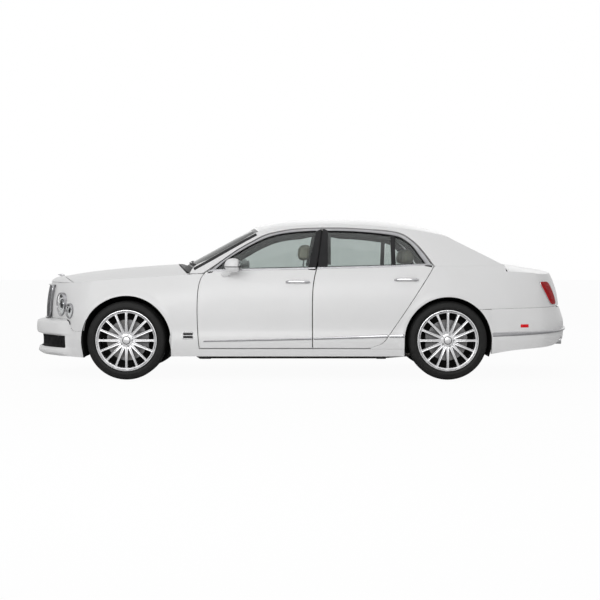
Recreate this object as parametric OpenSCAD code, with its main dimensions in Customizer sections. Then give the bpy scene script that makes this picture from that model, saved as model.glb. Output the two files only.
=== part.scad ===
// Four-door luxury sedan, full size, in millimetres.
// The nose points to -X, the left side is at -Y, the ground is Z = 0.

/* [Overall] */
// Distance between the axles
wheelbase = 3136; // [3000:1:3300]
// From the front axle to the tip of the front bumper
front_overhang = 1008; // [960:1:1080]
// From the rear axle to the tip of the rear bumper
rear_overhang = 1276; // [1220:1:1360]
// Widest part of the body, mirrors left out
body_w = 1930; // [1880:2:2000]
// Height of the middle of the roof
roof_z = 1586; // [1540:1:1640]
// Height of the belt line half way along the doors
belt_z = 1084; // [1060:1:1110]
// Underside of the sills
sill_z = 229; // [200:1:245]

/* [Wheels] */
// Outer diameter of the tyres
tyre_d = 770; // [750:2:790]
// Section width of the tyres
tyre_w = 265; // [235:5:285]
// Diameter over the rim flanges
rim_d = 596; // [560:2:610]
// Distance between the front tyre centres
front_track = 1620; // [1580:2:1640]
// Distance between the rear tyre centres
rear_track = 1646; // [1600:2:1660]
// Spokes of each rim
spokes = 16; // [8:1:20]
// Brake disc diameter
disc_d = 400; // [340:5:420]

/* [Panels] */
// Thickness of the outer body panels
panel_t = 26; // [16:1:34]
// Thickness of the doors below the glass
door_t = 100; // [80:1:115]
// Thickness of the door frames round the glass
frame_t = 36; // [28:1:42]
// Clearance round the moving panels
shut_gap = 6; // [5.5:0.5:8]
// Clearance between fixed panels
seam = 0.5; // [0.3:0.1:0.8]
// Thickness of the glass
glass_t = 6; // [4:0.5:8]

/* [Hinges] */
// Radius of the door hinge pins
pin_r = 5; // [4:0.5:6]
// Running clearance of a pin in its eye
pin_play = 0.3; // [0.2:0.05:0.5]

/* [Hidden] */
$fn = 48;
e1 = 0.01;
x_fa = front_overhang - (front_overhang + wheelbase + rear_overhang) / 2;
x_ra = x_fa + wheelbase;
b_x = x_fa + 0.58 * wheelbase;
hw = body_w / 2;
hub_z = tyre_d / 2;
arch_f = hub_z + 52;
arch_r = hub_z + 40;
house_f = arch_f + 14;
house_r = arch_r + 6;
y_fw = front_track / 2;
y_rw = rear_track / 2;
kingpin_y = y_fw - 62;
// Outer face of the front rails, beside the wheel houses, and half width of the boot floor
frame_y = y_fw - 362;
boot_y = y_rw - 223;
rail_z = roof_z - 101;
floor_z = sill_z + 12;
door_z = sill_z + 84;

// Small helpers for curves
function fx(d) = x_fa + d;
function rx(d) = x_ra + d;
function bz(d) = belt_z + d;
function rz(d) = roof_z + d;
function lerp(a, b, t) = a + (b - a) * t;
function clamp(v, a, b) = min(max(v, a), b);
function ease(t) = let (c = clamp(t, 0, 1)) c * c * (3 - 2 * c);
function seg(P, x) = let (n = len(P) - 2) [for (i = [0:n]) if (i == n || x < P[i + 1][0]) i][0];
function slope(P, i) =
    let (a = max(i - 1, 0), b = min(i + 1, len(P) - 1)) (P[b][1] - P[a][1]) / (P[b][0] - P[a][0]);
// Smooth curve through the points [position, value]
function spl(P, x) =
    let (i = seg(P, x), h = P[i + 1][0] - P[i][0], t = clamp((x - P[i][0]) / h, 0, 1))
    (2 * t * t * t - 3 * t * t + 1) * P[i][1] + (t * t * t - 2 * t * t + t) * h * slope(P, i)
    + (3 * t * t - 2 * t * t * t) * P[i + 1][1] + (t * t * t - t * t) * h * slope(P, i + 1);
// Straight legs through the points of a list, t from 0 to 1
function leg(P, t) =
    let (k = t * (len(P) - 1), i = min(floor(k), len(P) - 2)) lerp(P[i], P[i + 1], k - i);
function run(P, i) = i == 0 ? 0 : run(P, i - 1) + norm(P[i] - P[i - 1]);
function steps(n) = [for (i = [0:n]) i / n];
function unit(v) = v / norm(v);

// Plan outline of the body at its widest, one side, from the nose to the tail
w = hw / 965;
nose = [for (p = [[-938, 0], [-916, 150], [-841, 330], [-701, 560], [-585, 740], [-488, 850], [-378, 920]])
    [fx(p[0]), p[1] * w]];
tail = [for (p = [[666, 902], [911, 822], [1021, 728], [1111, 605], [1181, 410], [1211, 200], [1221, 0]])
    [rx(p[0]), p[1] * w]];
s_nose = nose[6][0] - run(nose, 6);
s_tail = tail[0][0] + run(tail, 6);
function s_n(i) = s_nose + run(nose, i);
function s_t(i) = tail[0][0] + run(tail, i);
side = [[fx(-200), hw - 18], [fx(0), hw - 14], [fx(700), hw - 12], [b_x, hw - 8],
    [rx(-600), hw - 4], [rx(0), hw], [rx(266), hw - 14], [rx(466), hw - 33]];
outline = concat(
    [[s_nose - run(nose, 1), [nose[1][0], -nose[1][1]]]],
    [for (i = [0:6]) [s_n(i), nose[i]]],
    [for (p = side) [p[0], p]],
    [for (i = [0:6]) [s_t(i), tail[i]]],
    [[s_tail + norm(tail[6] - tail[5]), [tail[5][0], -tail[5][1]]]]);
function plan(s) = spl(outline, s);
function plan_n(s) = let (d = plan(s + 2) - plan(s - 2)) unit([-d[1], d[0]]);

// Height of the shoulder: bonnet edge, belt line, boot edge
shoulder = [[s_nose, bz(-144)], [s_n(3), bz(-139)], [s_n(4), bz(-134)], [fx(599), bz(-57)],
    [fx(695), bz(-39)], [fx(770), bz(-32)], [fx(852), bz(-20)], [b_x, bz(0)], [rx(-554), bz(20)],
    [rx(-219), bz(36)], [rx(-134), bz(30)], [rx(66), bz(8)], [rx(366), bz(-12)], [rx(603), bz(-26)],
    [rx(866), bz(-39)], [s_t(2), bz(-52)], [s_t(4), bz(-50)], [s_tail, bz(-42)]];
function zsh(s) = spl(shoulder, s);
// How far the flank leans in at the shoulder
lean = [[s_nose, 40], [s_n(3), 60], [s_n(4), 95], [fx(0), 115], [fx(600), 105], [fx(900), 88],
    [b_x, 84], [rx(-200), 88], [rx(366), 100], [rx(866), 100], [s_t(2), 95], [s_tail, 90]];
// Lower flank: tuck at the sill, swell over the trim strip, hollow above it
low = [[0, 45], [0.083, 24], [0.2, 3], [0.32, 18], [0.52, 0], [1, 0]];
skirt = [[s_nose, 0.3], [fx(-400), 0.5], [fx(500), 1], [rx(-500), 1], [rx(450), 0.6], [s_tail, 0.3]];
function lip(x, z, xw, r) = let (d = norm([x - xw, z - hub_z]) - r - 20) 9 * exp(-d * d / 900);
function tuck(s, z) =
    let (h = (z - sill_z) / (zsh(s) - sill_z))
    spl(low, h) * spl(skirt, s) + spl(lean, s) * pow(max(0, (h - 0.5) / 0.5), 2.2)
    - lip(s, z, x_fa, arch_f) - lip(s, z, x_ra, arch_r);
// Point of the flank at station s and height z, pushed out by d
function band(s, z, d = 0) =
    let (p = plan(s), n = plan_n(s), k = d - tuck(s, z)) [p[0] + n[0] * k, p[1] + n[1] * k, z];

// Sides of the cabin above the belt
rail_y = [[fx(700), 560], [fx(1287), 602], [fx(1702), 640], [b_x + 480, 645], [rx(-434), 630],
    [rx(3), 565], [rx(600), 430]];
function yg(x, z) =
    let (s = zsh(x), q = (z - s) / (rail_z - s), yb = band(x, s)[1] - 2, r = max(0, z - rz(-136)))
    lerp(yb, spl(rail_y, x) * w, 0.85 * q + 0.15 * q * q) - 0.005 * r * r;
function flank(x, z) = z <= zsh(x) ? band(x, z) : [x, yg(x, z), z];

// Patch between four space curves, each a function of 0 to 1
function coons(B, T, L, R, u, v) =
    (1 - v) * B(u) + v * T(u) + (1 - u) * L(v) + u * R(v)
    - (1 - u) * (1 - v) * B(0) - u * (1 - v) * B(1) - (1 - u) * v * T(0) - u * v * T(1);
function flip(p, k) = [p[0], p[1] * k, p[2]];
// Right half patch (u from the centre line out) made into a whole, u from 0 to 1 left to right
function whole(f) = function (u, v) let (c = 2 * u - 1) flip(f(abs(c), v), c < 0 ? -1 : 1);
function normal(f, u, v) =
    let (a = f(min(1, u + e1), v) - f(max(0, u - e1), v), b = f(u, min(1, v + e1)) - f(u, max(0, v - e1)))
    -unit(cross(a, b));

// Closed wall between an outer and an inner grid of points
module wall(outer, inner) {
    nr = len(outer);
    nc = len(outer[0]);
    m = nr * nc;
    polyhedron(
        concat([for (r = outer) each r], [for (r = inner) each r]),
        concat(
            [for (i = [0:nr - 2]) for (j = [0:nc - 2]) let (a = i * nc + j)
                each [[a, a + 1, a + nc + 1], [a, a + nc + 1, a + nc]]],
            [for (i = [0:nr - 2]) for (j = [0:nc - 2]) let (a = m + i * nc + j)
                each [[a, a + nc + 1, a + 1], [a, a + nc, a + nc + 1]]],
            [for (j = [0:nc - 2]) each [[j, m + j, m + j + 1], [j, m + j + 1, j + 1]]],
            [for (j = [0:nc - 2]) let (a = (nr - 1) * nc + j)
                each [[a, m + a + 1, m + a], [a, a + 1, m + a + 1]]],
            [for (i = [0:nr - 2]) let (a = i * nc)
                each [[a, m + a + nc, m + a], [a, a + nc, m + a + nc]]],
            [for (i = [0:nr - 2]) let (a = i * nc + nc - 1)
                each [[a, m + a, m + a + nc], [a, m + a + nc, a + nc]]]),
        convexity = 8);
}
// Panel of thickness t below the surface f; e insets its inner face at u0, u1, v0, v1
module panel(f, us, vs, t, e = [0, 0, 0, 0], sink = 0) {
    wall(
        [for (v = vs) [for (u = us) f(u, v) - (sink ? sink * normal(f, u, v) : [0, 0, 0])]],
        [for (v = vs) [for (u = us) let (a = lerp(e[0], 1 - e[1], u), b = lerp(e[2], 1 - e[3], v))
            f(a, b) - (t + sink) * normal(f, a, b)]]);
}
module both() {
    children();
    mirror([0, 1, 0]) children();
}
// One pressed shell out of several overlapping lofts
module pressed() {
    resize([0, 0, 0]) union() children();
}
module box(a, b) {
    translate(a) cube(b - a);
}
module rod(a, b, r) {
    d = b - a;
    translate(a) rotate([0, acos(d[2] / norm(d)), atan2(d[1], d[0])]) cylinder(r = r, h = norm(d));
}
module lateral(p, r, h) {
    translate(p) rotate([-90, 0, 0]) cylinder(r = r, h = h);
}

// Shut lines in side view
front_line = [[300, 711], [500, 695], [700, 692], [880, 699], [990, 724], [1060, 775]];
b_line = [[300, -2], [700, -4], [880, 1], [1000, 17], [1086, 37], [1473, 95]];
rear_line = [[313, -760], [340, -680], [363, -634], [430, -580], [600, -462], [1065, -158], [1115, -132]];
function x_front(z) = fx(spl(front_line, z));
function x_b(z) = b_x + spl(b_line, z);
function x_rear(z) = rx(spl(rear_line, z));
function fo(p) = [fx(p[0]), rz(p[1])];
function bo(p) = [b_x + p[0], rz(p[1])];
function ro(p) = [rx(p[0]), rz(p[1])];

// Window openings: outer edge of the door frames and edge of the glass, front door
frame_fo = concat([[fx(784), bz(-44)]],
    [for (p = [[950, -414], [1103, -308], [1228, -238], [1352, -174], [1479, -142], [1605, -120]]) fo(p)],
    [for (p = [[-87, -110], [20, -106], [86, -106], [76, -206], [55, -356]]) bo(p)], [[b_x + 27, bz(-14)]]);
frame_fi = concat([[fx(835), bz(-40)]],
    [for (p = [[968, -421], [1117, -323], [1240, -254], [1362, -198], [1487, -162], [1612, -144]]) fo(p)],
    [for (p = [[-92, -134], [-12, -130], [33, -129], [18, -216], [-11, -361]]) bo(p)],
        [[b_x - 45, bz(-9)]]);
// The same for the rear door, with its quarter light
frame_ro = concat([[b_x + 46, bz(-4)]],
    [for (p = [[70, -356], [90, -206], [104, -106], [317, -105]]) bo(p)],
    [for (p = [[-771, -119], [-604, -131], [-494, -146], [-431, -168], [-374, -201], [-321, -246],
        [-214, -372]])
        ro(p)],
    [[rx(-160), bz(46)], [rx(-150), bz(14)]]);
frame_ri = concat([[b_x + 147, bz(1)]],
    [for (p = [[149, -356], [151, -206], [153, -129], [317, -131]]) bo(p)],
    [for (p = [[-774, -144], [-609, -162], [-509, -178], [-444, -198], [-394, -231], [-349, -268],
        [-271, -376]])
        ro(p)],
    [[rx(-218), bz(47)], [rx(-226), bz(28)]]);
// Pillars and cant rail: edge at the doors and edge at the screens and the roof
rail_lo = concat([[fx(740), bz(-42)], [fx(768), bz(-24)]],
    [for (p = [[940, -406], [1095, -298], [1221, -226], [1347, -162], [1476, -129], [1603, -107]]) fo(p)],
    [for (p = [[95, -92], [317, -92]]) bo(p)],
    [for (p = [[-771, -106], [-539, -126], [-422, -156], [-309, -236], [-199, -366]]) ro(p)],
    [[rx(-142), bz(52)], [rx(-122), bz(26)]]);
rail_hi = concat([[fx(612), bz(-46)], [fx(640), bz(4)]],
    [for (p = [[822, -396], [968, -311], [1112, -228], [1289, -130], [1432, -98], [1592, -80]]) fo(p)],
    [for (p = [[85, -64], [317, -63]]) bo(p)],
    [for (p = [[-754, -73], [-484, -96], [-254, -124], [3, -179], [206, -283]]) ro(p)],
    [[rx(416), bz(113)], [rx(575), bz(30)]]);
function rail_pt(t, v) = let (p = lerp(leg(rail_lo, t), leg(rail_hi, t), v)) flank(p[0], p[1]);

// Centre line of the top of the car
bonnet_c = [[fx(-938), bz(-150)], [fx(-915), bz(-120)], [fx(-850), bz(-98)], [fx(-757), bz(-81)],
    [fx(-505), bz(-39)], [fx(-128), bz(3)], [fx(437), bz(44)], [fx(540), bz(50)]];
roof_c = [[fx(1220), rz(-84)], [fx(1255), rz(-70)], [fx(1320), rz(-54)], [fx(1450), rz(-30)],
    [fx(1600), rz(-14)], [b_x + 100, rz(-2)], [b_x + 330, rz(0)], [b_x + 600, rz(-8)],
    [rx(-470), rz(-32)], [rx(-250), rz(-64)], [rx(-60), rz(-115)], [rx(65), rz(-169)]];
deck_c = [[rx(605), bz(52)], [rx(695), bz(44)], [rx(884), bz(13)], [rx(1072), bz(-19)], [rx(1130),
    bz(-36)]];
function centre(P, x) = [x, 0, spl(P, x)];
// Arch of a panel across the car, from a centre point to an edge point
function across(c, e, u, k = 2.2) =
    [lerp(c[0], e[0], u * u), e[1] * u, lerp(c[2], e[2], pow(u, k))];

// Bonnet: front shut line, rear edge, side edges on the shoulder
s_bf = s_n(3) + 130;
x_bf = fx(-738);
x_br = fx(440);
s_br = fx(599);
function bonnet_edge(s) = let (p = band(s, zsh(s))) p;
function bonnet_half(u, v) =
    let (e = bonnet_edge(lerp(s_bf, s_br, v)), c = centre(bonnet_c, lerp(x_bf, x_br, v)))
    across(c, e, u, 2.5);
function trim_y(f, g, gx0, gx1) = function (u, v) let (p = f(u, lerp(gx0, 1 - gx1, v)), q = abs(p[1]))
    [p[0], sign(p[1]) * max(0, q - g * min(1, q / 400)), p[2]];

// Bonnet hinge axis at the base of the windscreen, beside the scuttle
bh_x = fx(615);
bh_z = bz(-57);
bh_y = 776 * w;
module bonnet() {
    color("white") {
        panel(trim_y(whole(function (u, v) bonnet_half(u, v)), shut_gap + 6, 0.006, 0.002), steps(16),
            steps(12),
            panel_t, [0.035, 0.035, 0.03, 0.05]);
        both() {
            hull() {
                lateral([bh_x, bh_y - 20, bh_z], 9, 8, $fn = 24);
                lateral([bh_x - 86, bh_y - 20, bh_z + 5], 9, 8, $fn = 16);
            }
            lateral([bh_x, bh_y - 20, bh_z], pin_r + 1, 36);
        }
    }
}

// Boot lid: the deck, then the rear face down to the bumper
s_lid = s_t(3) + 10;
lid_z = bz(-374);
x_df = rx(600);
// Gooseneck hinge axis under the parcel shelf
gh_x = rx(450);
gh_z = bz(-18);
gh_y = 470;
function deck_edge(v) = let (s = lerp(rx(612), s_lid, v)) band(s, zsh(s));
function deck_rear(u) = let (s = lerp(s_tail, s_lid, u)) band(s, zsh(s));
function deck_front(u) = across([x_df, 0, bz(52)], deck_edge(0), u, 2.5);
function deck_mid(v) = let (x = lerp(x_df, deck_rear(0)[0], v),
    z = spl(deck_c, x)) [x, 0, v == 1 ? deck_rear(0)[2] : z];
function deck_half(u, v) = coons(function (t) deck_front(t), function (t) deck_rear(t),
    function (t) deck_mid(t), function (t) deck_edge(t), u, v);
function lid_half(u, v) = v <= 0.6 ? deck_half(u, v / 0.6)
    : let (s = lerp(s_tail, s_lid, u), z = lerp(zsh(s), lid_z, (v - 0.6) / 0.4)) band(s, z);
module boot_lid() {
    color("white") {
        panel(trim_y(whole(function (u, v) lid_half(u, v)), shut_gap + 6, 0.008, 0.008), steps(14),
            concat([for (v = steps(9)) 0.6 * v], [for (i = [1:4]) 0.6 + i * 0.1]), panel_t,
            [0.05, 0.05, 0.05, 0.01]);
        both() {
            difference() {
                translate([gh_x, gh_y + 4, gh_z]) rotate([90, 0, 0]) linear_extrude(8) neck();
                lateral([gh_x, gh_y - 10, gh_z], pin_r + 3 + pin_play, 20);
            }
        }
    }
}
// Side view of a gooseneck arm, from its eye to the lid
module neck() {
    union() {
        circle(r = 16);
        polygon([[-12, 0], [22, -104], [72, -160], [142, -160], [222, -112], [282, -22], [302, 44],
            [276, 54],
            [250, -4], [206, -76], [150, -126], [95, -134], [52, -96], [14, 8]]);
    }
}

// Doors: lower shell, window frame, hinge pins
d_chamfer = 10;
hinge_zs = [sill_z + 371, sill_z + 551];
function hx_f() = x_front(700) + shut_gap + 18;
function hx_r() = x_b(700) + 4.5 + 18;
function hy(x) = min([for (z = hinge_zs) band(x, z)[1]]) - 12;
function door_f(u, v) =
    let (z = lerp(door_z, zsh(lerp(fx(770), b_x + 36, u)), v),
        a = x_front(z) + shut_gap, x = lerp(a, x_b(z) - 4.5, u),
        p = flank(x, z)) p - [0, max(0, d_chamfer - x + a), 0];
function door_r(u, v) =
    let (z = lerp(door_z, zsh(lerp(b_x + 36, rx(-140), u)), v),
        a = x_b(z) + 4.5, x = lerp(a, x_rear(z) - 5, u),
        p = flank(x, z)) p - [0, max(0, d_chamfer - x + a), 0];
module ring(P, Q, t) {
    panel(function (u, v) let (p = lerp(leg(Q, 1 - u), leg(P, 1 - u), v)) flank(p[0], p[1]),
        steps(2 * (len(P) - 1)), steps(1), t, [0, 0, 0, 0.75]);
}
module pocket(x, y, z) {
    box([x - 30, y - 130, z - 28], [x + 12, y + 8.5, z + 28]);
}
module hinge_pins(x) {
    for (z = hinge_zs) translate([x, hy(x), z - 40]) cylinder(r = pin_r, h = 80);
}
module door_front() {
    pressed() {
        difference() {
            panel(function (u, v) door_f(u, v), concat([0], [for (i = [0:10]) lerp(0.01, 1, i / 10)]),
                steps(8),
                door_t, [0.06, 0.055, 0.03, 0.0]);
            for (z = hinge_zs) pocket(hx_f(), hy(hx_f()), z);
        }
        ring(frame_fo, frame_fi, frame_t);
    }
    hinge_pins(hx_f());
}
module door_rear() {
    pressed() {
        difference() {
            panel(function (u, v) door_r(u, v), concat([0], [for (i = [0:10]) lerp(0.012, 1, i / 10)]),
                steps(9),
                door_t, [0.055, 0.055, 0.03, 0.0]);
            for (z = hinge_zs) pocket(hx_r(), hy(hx_r()), z);
        }
        ring(frame_ro, frame_ri, frame_t);
        panel(function (u, v) flank(lerp(rx(-548), rx(-505), u), lerp(bz(10), rz(-160), v)), steps(1),
            steps(6), 30);
    }
    hinge_pins(hx_r());
}
module front_door_left() { color("white") mirror([0, 1, 0]) door_front(); }
module front_door_right() { color("white") door_front(); }
module rear_door_left() { color("white") mirror([0, 1, 0]) door_rear(); }
module rear_door_right() { color("white") door_rear(); }

// Side glass, set back in the frames
glass_f = concat([lerp(frame_fi[0], frame_fi[1], 0.37)], [for (i = [1:9]) frame_fi[i]]);
glass_r = concat([for (i = [3:6]) frame_ri[i]], [[rx(-549), rz(-172)]]);
glass_q = concat([[rx(-504), rz(-180)]], [for (i = [8:12]) frame_ri[i]]);
module pane(P, x0, x1) {
    c = [lerp(x0, x1, 0.5), bz(120)];
    panel(function (u, v) let (x = lerp(x0, x1, u), t = leg(P, u), a = t + 0.6 * unit(c - t),
        p = lerp([x, zsh(x) + 1.6], a, v)) flank(p[0], p[1]), steps(len(P) - 1), steps(3), glass_t,
        [0, 0, 0, 0], 12);
}
module glass_front() {
    pane(glass_f, fx(886), b_x - 44);
}
module glass_rear() {
    pane(glass_r, b_x + 147.6, rx(-548.6));
    pane(glass_q, rx(-504.4), rx(-240));
}
module front_glass_left() { color("lightgray", 0.5) mirror([0, 1, 0]) glass_front(); }
module front_glass_right() { color("lightgray", 0.5) glass_front(); }
module rear_glass_left() { color("lightgray", 0.5) mirror([0, 1, 0]) glass_rear(); }
module rear_glass_right() { color("lightgray", 0.5) glass_rear(); }

// Door handles: a bar on two feet
module handle(x, z) {
    pressed() {
        panel(function (u, v) flank(x + lerp(0, 232, u), z + lerp(-13, 13, v)), steps(6), steps(2), 14,
            [0, 0, 0, 0], -40);
        for (d = [14, 190]) panel(function (u, v) flank(x + d + lerp(0, 28, u), z + lerp(-12, 12, v)),
            steps(1),
            steps(1), 31, [0, 0, 0, 0], -30.6);
    }
}
module front_handles_at() { handle(b_x - 262, bz(-131)); }
module rear_handles_at() { handle(rx(-522), bz(-110)); }
module front_handle_left() { color("silver") mirror([0, 1, 0]) front_handles_at(); }
module front_handle_right() { color("silver") front_handles_at(); }
module rear_handle_left() { color("silver") mirror([0, 1, 0]) rear_handles_at(); }
module rear_handle_right() { color("silver") rear_handles_at(); }

// Door mirrors: foot on the skin below the belt, head outboard of the glass
module mirror_right_at() {
    y = band(fx(960), bz(-60))[1];
    pressed() {
        panel(function (u, v) flank(fx(lerp(925, 1004, u)), bz(lerp(-84, -34, v))), steps(2), steps(2),
            60.9,
            [0, 0, 0, 0], -60.6);
        hull() {
            translate([fx(940), y + 40, bz(-50)]) cube([60, 30, 20]);
            translate([fx(985), y + 80, bz(-16)]) cube([40, 40, 20]);
        }
        translate([fx(1048), y + 118, bz(34)]) resize([168, 236, 138]) sphere(r = 50, $fn = 20);
    }
}
module mirror_left() { color("white") mirror([0, 1, 0]) mirror_right_at(); }
module mirror_right() { color("white") mirror_right_at(); }

// Fixed panels of the cabin
module side_frames() {
    color("white") both() panel(function (u, v) rail_pt(u, v), steps(32), steps(3), 46);
}
function roof_half(u, v) =
    let (e = leg([for (i = [5:13]) rail_hi[i]], v), p = flank(e[0], e[1]),
        c = centre(roof_c, lerp(fx(1232), rx(60), v)))
    across(c, p, u, 2.3);
module roof_panel() {
    color("white") panel(trim_y(whole(function (u, v) roof_half(u, v)), seam + 0.4, 0, 0), steps(14),
        steps(16), 40,
        [0.04, 0.04, 0.02, 0.02]);
}
function screen_half(u, v) =
    let (e = leg([for (i = [1:5]) rail_hi[i]], v), p = flank(e[0], e[1]), c = lerp([fx(540), 0, bz(44)],
        [fx(1225), 0, rz(-84)], v)) across(c, p, u, 2);
module windscreen() {
    color("lightgray", 0.5) panel(trim_y(whole(function (u, v) screen_half(u, v)), 1.2, 0.0058, 0.012),
        steps(12),
        steps(4), glass_t, [0.006, 0.006, 0, 0]);
}
function rear_half(u, v) =
    let (e = leg([for (i = [13:16]) rail_hi[i]], v), p = flank(e[0], e[1]), c = lerp([rx(68), 0, rz(-172)],
        [rx(590), 0, bz(56)], v)) across(c, p, u, 2);
module rear_window() {
    color("lightgray", 0.5) panel(trim_y(whole(function (u, v) rear_half(u, v)), 1.2, 0.012, 0.01),
        steps(12),
        steps(3), glass_t, [0.006, 0.006, 0, 0]);
}
// Scuttle under the windscreen and panel under the rear window
function cowl_half(u, v) =
    let (a = bonnet_half(u, 1), b = screen_half(u, 0)) lerp(a, b, lerp(0.12, 0.98, v)) - [0, 0,
        22 * sin(180 * v)];
// The scuttle stops short of the bonnet hinges at both ends
cowl_in = 100;
module cowl_panel() {
    color("dimgray") {
        panel(trim_y(whole(function (u, v) cowl_half(u, v)), cowl_in, 0, 0), steps(16), steps(3), 20);
    }
}

// Wings and quarters: columns from a lower edge point to an upper one
function columns(C, bow) = function (u, v)
    let (k = u * (len(C) - 1), i = min(floor(k), len(C) - 2), c = lerp(C[i], C[i + 1], k - i),
        p = lerp(c[0], c[1], v)) flank(p[0] + bow(u, v, p[1]), p[1]);
function arc_pt(xw, r, a) = [xw + r * cos(a), hub_z + r * sin(a)];
s_w = s_n(2) + 70;
wing_bz = sill_z + 73;
a_w = 180 - asin((wing_bz + 178 - hub_z) / arch_f);
wing_cols = concat(
    [[[s_w + seam, bz(-502)], [s_w + seam, zsh(s_w)]], [[s_n(3), bz(-504)], [s_n(3), zsh(s_n(3))]],
        [[s_n(4), bz(-540)], [s_n(4), zsh(s_n(4))]]],
    [[arc_pt(x_fa, arch_f, a_w) + [-4, 0], [fx(-520), zsh(fx(-520))]]],
    [for (i = [0:12]) let (a = lerp(a_w, 0, i / 12), x = fx(lerp(-460, 470, i / 12)))
        [arc_pt(x_fa, arch_f, a), [x, zsh(x)]]],
    [[[fx(arch_f), wing_bz + seam], [fx(545), zsh(fx(545))]], [[fx(560), wing_bz + seam], [fx(606),
        bz(-55)]],
        [[fx(709), wing_bz + seam], [fx(734), bz(-52)]]]);
module front_wings() {
    n = len(wing_cols) - 1;
    color("white") both() difference() {
        panel(columns(wing_cols, function (u, v, z) let (k = ease(u * n - n + 1))
            k * (x_front(z) - 2.6 - lerp(fx(709), fx(734), v))), steps(n),
            [0, 0.2, 0.4, 0.6, 0.75, 0.86, 0.94, 1], panel_t, [0, 0, 0, 0.03]);
        for (p = lamps) lamp_axis(p) cylinder(r = p[2] + 1, h = 300, center = true);
    }
}
top_r = [[rx(300), bz(-394)], [rx(600), bz(-386)], [s_t(2), bz(-378)], [s_lid, bz(-374)],
    [s_tail, bz(-374)]];
function zq(s) = spl(top_r, s) + seam;
a_q = asin((zq(rx(306)) - hub_z) / arch_r);
quarter_cols = concat(
    [[[rx(-748), sill_z + 78], [rx(-696), sill_z + 84]], [[rx(-arch_r - 160), sill_z + 74], [rx(-648),
        sill_z + 118]],
        [[rx(-arch_r), sill_z + 74], [rx(-570), sill_z + 202]]],
    [for (i = [0:3]) let (a = lerp(180, 135, i / 3), z = lerp(sill_z + 300, bz(12), i / 3))
        [arc_pt(x_ra, arch_r, a), [x_rear(z) + 6, z]]],
    [for (i = [1:10]) let (a = lerp(135, a_q, i / 10), x = rx(lerp(-120, 574, i / 10)))
        [arc_pt(x_ra, arch_r, a), [x, lerp(bz(25.4), bz(29.4), (x - rx(-122)) / 697)]]],
    [for (i = [0:9]) let (t = lerp(rx(612), s_lid + 2, i / 9), b = lerp(rx(480), s_lid + 2, i / 9))
        [[b, zq(b)], [t, zsh(t)]]]);
module rear_quarters() {
    color("white") both() panel(columns(quarter_cols, function (u, v, z) 0), steps(len(quarter_cols) - 1),
        steps(6), panel_t, [0, 0, 0, 0.05]);
}

// Nose panel with the grille opening
grille_w = 352 * w;
grille_z0 = bz(-498);
grille_z1 = bz(-165);
function nose_half(u, v) = band(lerp(s_nose, s_w, u), lerp(bz(-502), zsh(lerp(s_nose, s_w, u)), v));
function nose_top(u, v) =
    let (s = lerp(s_nose, s_bf, u), a = band(s, zsh(s)), b = bonnet_half(u, 0))
    [lerp(a[0], b[0], 1 - cos(90 * v)), lerp(a[1], b[1], v), lerp(a[2], b[2], sin(90 * v))];
module nose_panel() {
    color("white") pressed() {
        difference() {
            panel(whole(function (u, v) nose_half(u, v)), steps(14), steps(6), panel_t);
            translate([fx(-1000), -grille_w, grille_z0]) cube([500, 2 * grille_w, grille_z1 - grille_z0]);
        }
        panel(whole(function (u, v) nose_top(0.96 * u, v)), steps(14), steps(5), panel_t);
    }
}
// A grid of bars on the flank between two stations and two heights
module bars(f, s0, s1, z0, z1, nh, nv, b, depth) {
    pressed() {
        for (i = [0:nh]) panel(whole(function (u, v) f(lerp(s0, s1, u),
            lerp(z0, z1, i / nh) + lerp(-b, b, v))),
            steps(2 * nv), steps(1), 10, [0, 0, 0, 0], depth);
        both() for (i = [0:nv]) let (s = lerp(s0, s1, i / nv))
            panel(function (u, v) f(s + lerp(-b, b, u), lerp(z0, z1, v)), steps(1), steps(1),
                10, [0, 0, 0, 0],
                depth);
    }
}
module radiator_grille() {
    color("silver") pressed() {
        bars(function (s, z) band(s, z), s_nose, s_n(2) + 26, grille_z0 + 4.6, grille_z1 - 4.6, 1, 11, 4,
            14);
    }
}

// Lamps: height, station and radius, then the turn of the axis
lamps = [[fx(-701), 560 * w, 116, bz(-358), 30], [fx(-585), 740 * w, 74, bz(-418), 38]];
module lamp_axis(p) {
    translate([p[0], p[1], p[3]]) rotate([0, 0, -p[4]]) rotate([0, -90, 0]) children();
}
module headlamps() {
    color("silver") both() for (p = lamps) lamp_axis(p) translate([0, 0, -46]) union() {
        cylinder(r = p[2], h = 50);
        translate([0, 0, 50]) cylinder(r1 = p[2], r2 = p[2] * 0.7, h = 12);
    }
}
module tail_lamps() {
    color("red") both() panel(function (u, v) band(lerp(s_t(1) + 12, s_t(3) - 8, u) - 50 * v,
        lerp(bz(-352), bz(-130), v)), steps(8), steps(6), 11.5, [0, 0, 0, 0], -12);
}

// Bumpers
push_f = [[s_nose, 70], [s_n(2), 138], [s_n(3), 108], [s_n(4), 56], [s_n(5), 22], [fx(-arch_f - 30), 3]];
prof_f = [[sill_z - 14, 0.6], [sill_z + 16, 0.95], [sill_z + 62, 0.85], [sill_z + 76, 0.6],
    [sill_z + 190, 0.62],
    [sill_z + 210, 1], [sill_z + 318, 1], [sill_z + 342, 0.86], [sill_z + 352, 0.2]];
top_f = [[s_nose, bz(-504.6)], [s_n(2), bz(-506)], [s_n(3), bz(-508)], [s_n(4), bz(-540.6)],
    [s_n(5), wing_bz + 178],
    [fx(-400), wing_bz + 177]];
function bumper_f(s, z) = band(s, z, spl(push_f, s) * spl(prof_f, z));
function front_part(s0, s1, z0, z1) = function (u, v)
    let (s = lerp(s0, s1, u), a = z0 == 0 ? sill_z - 14 : z0, b = z1 == 0 ? spl(top_f,
        s) - seam : z1) bumper_f(s, lerp(a, b, v));
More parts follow.
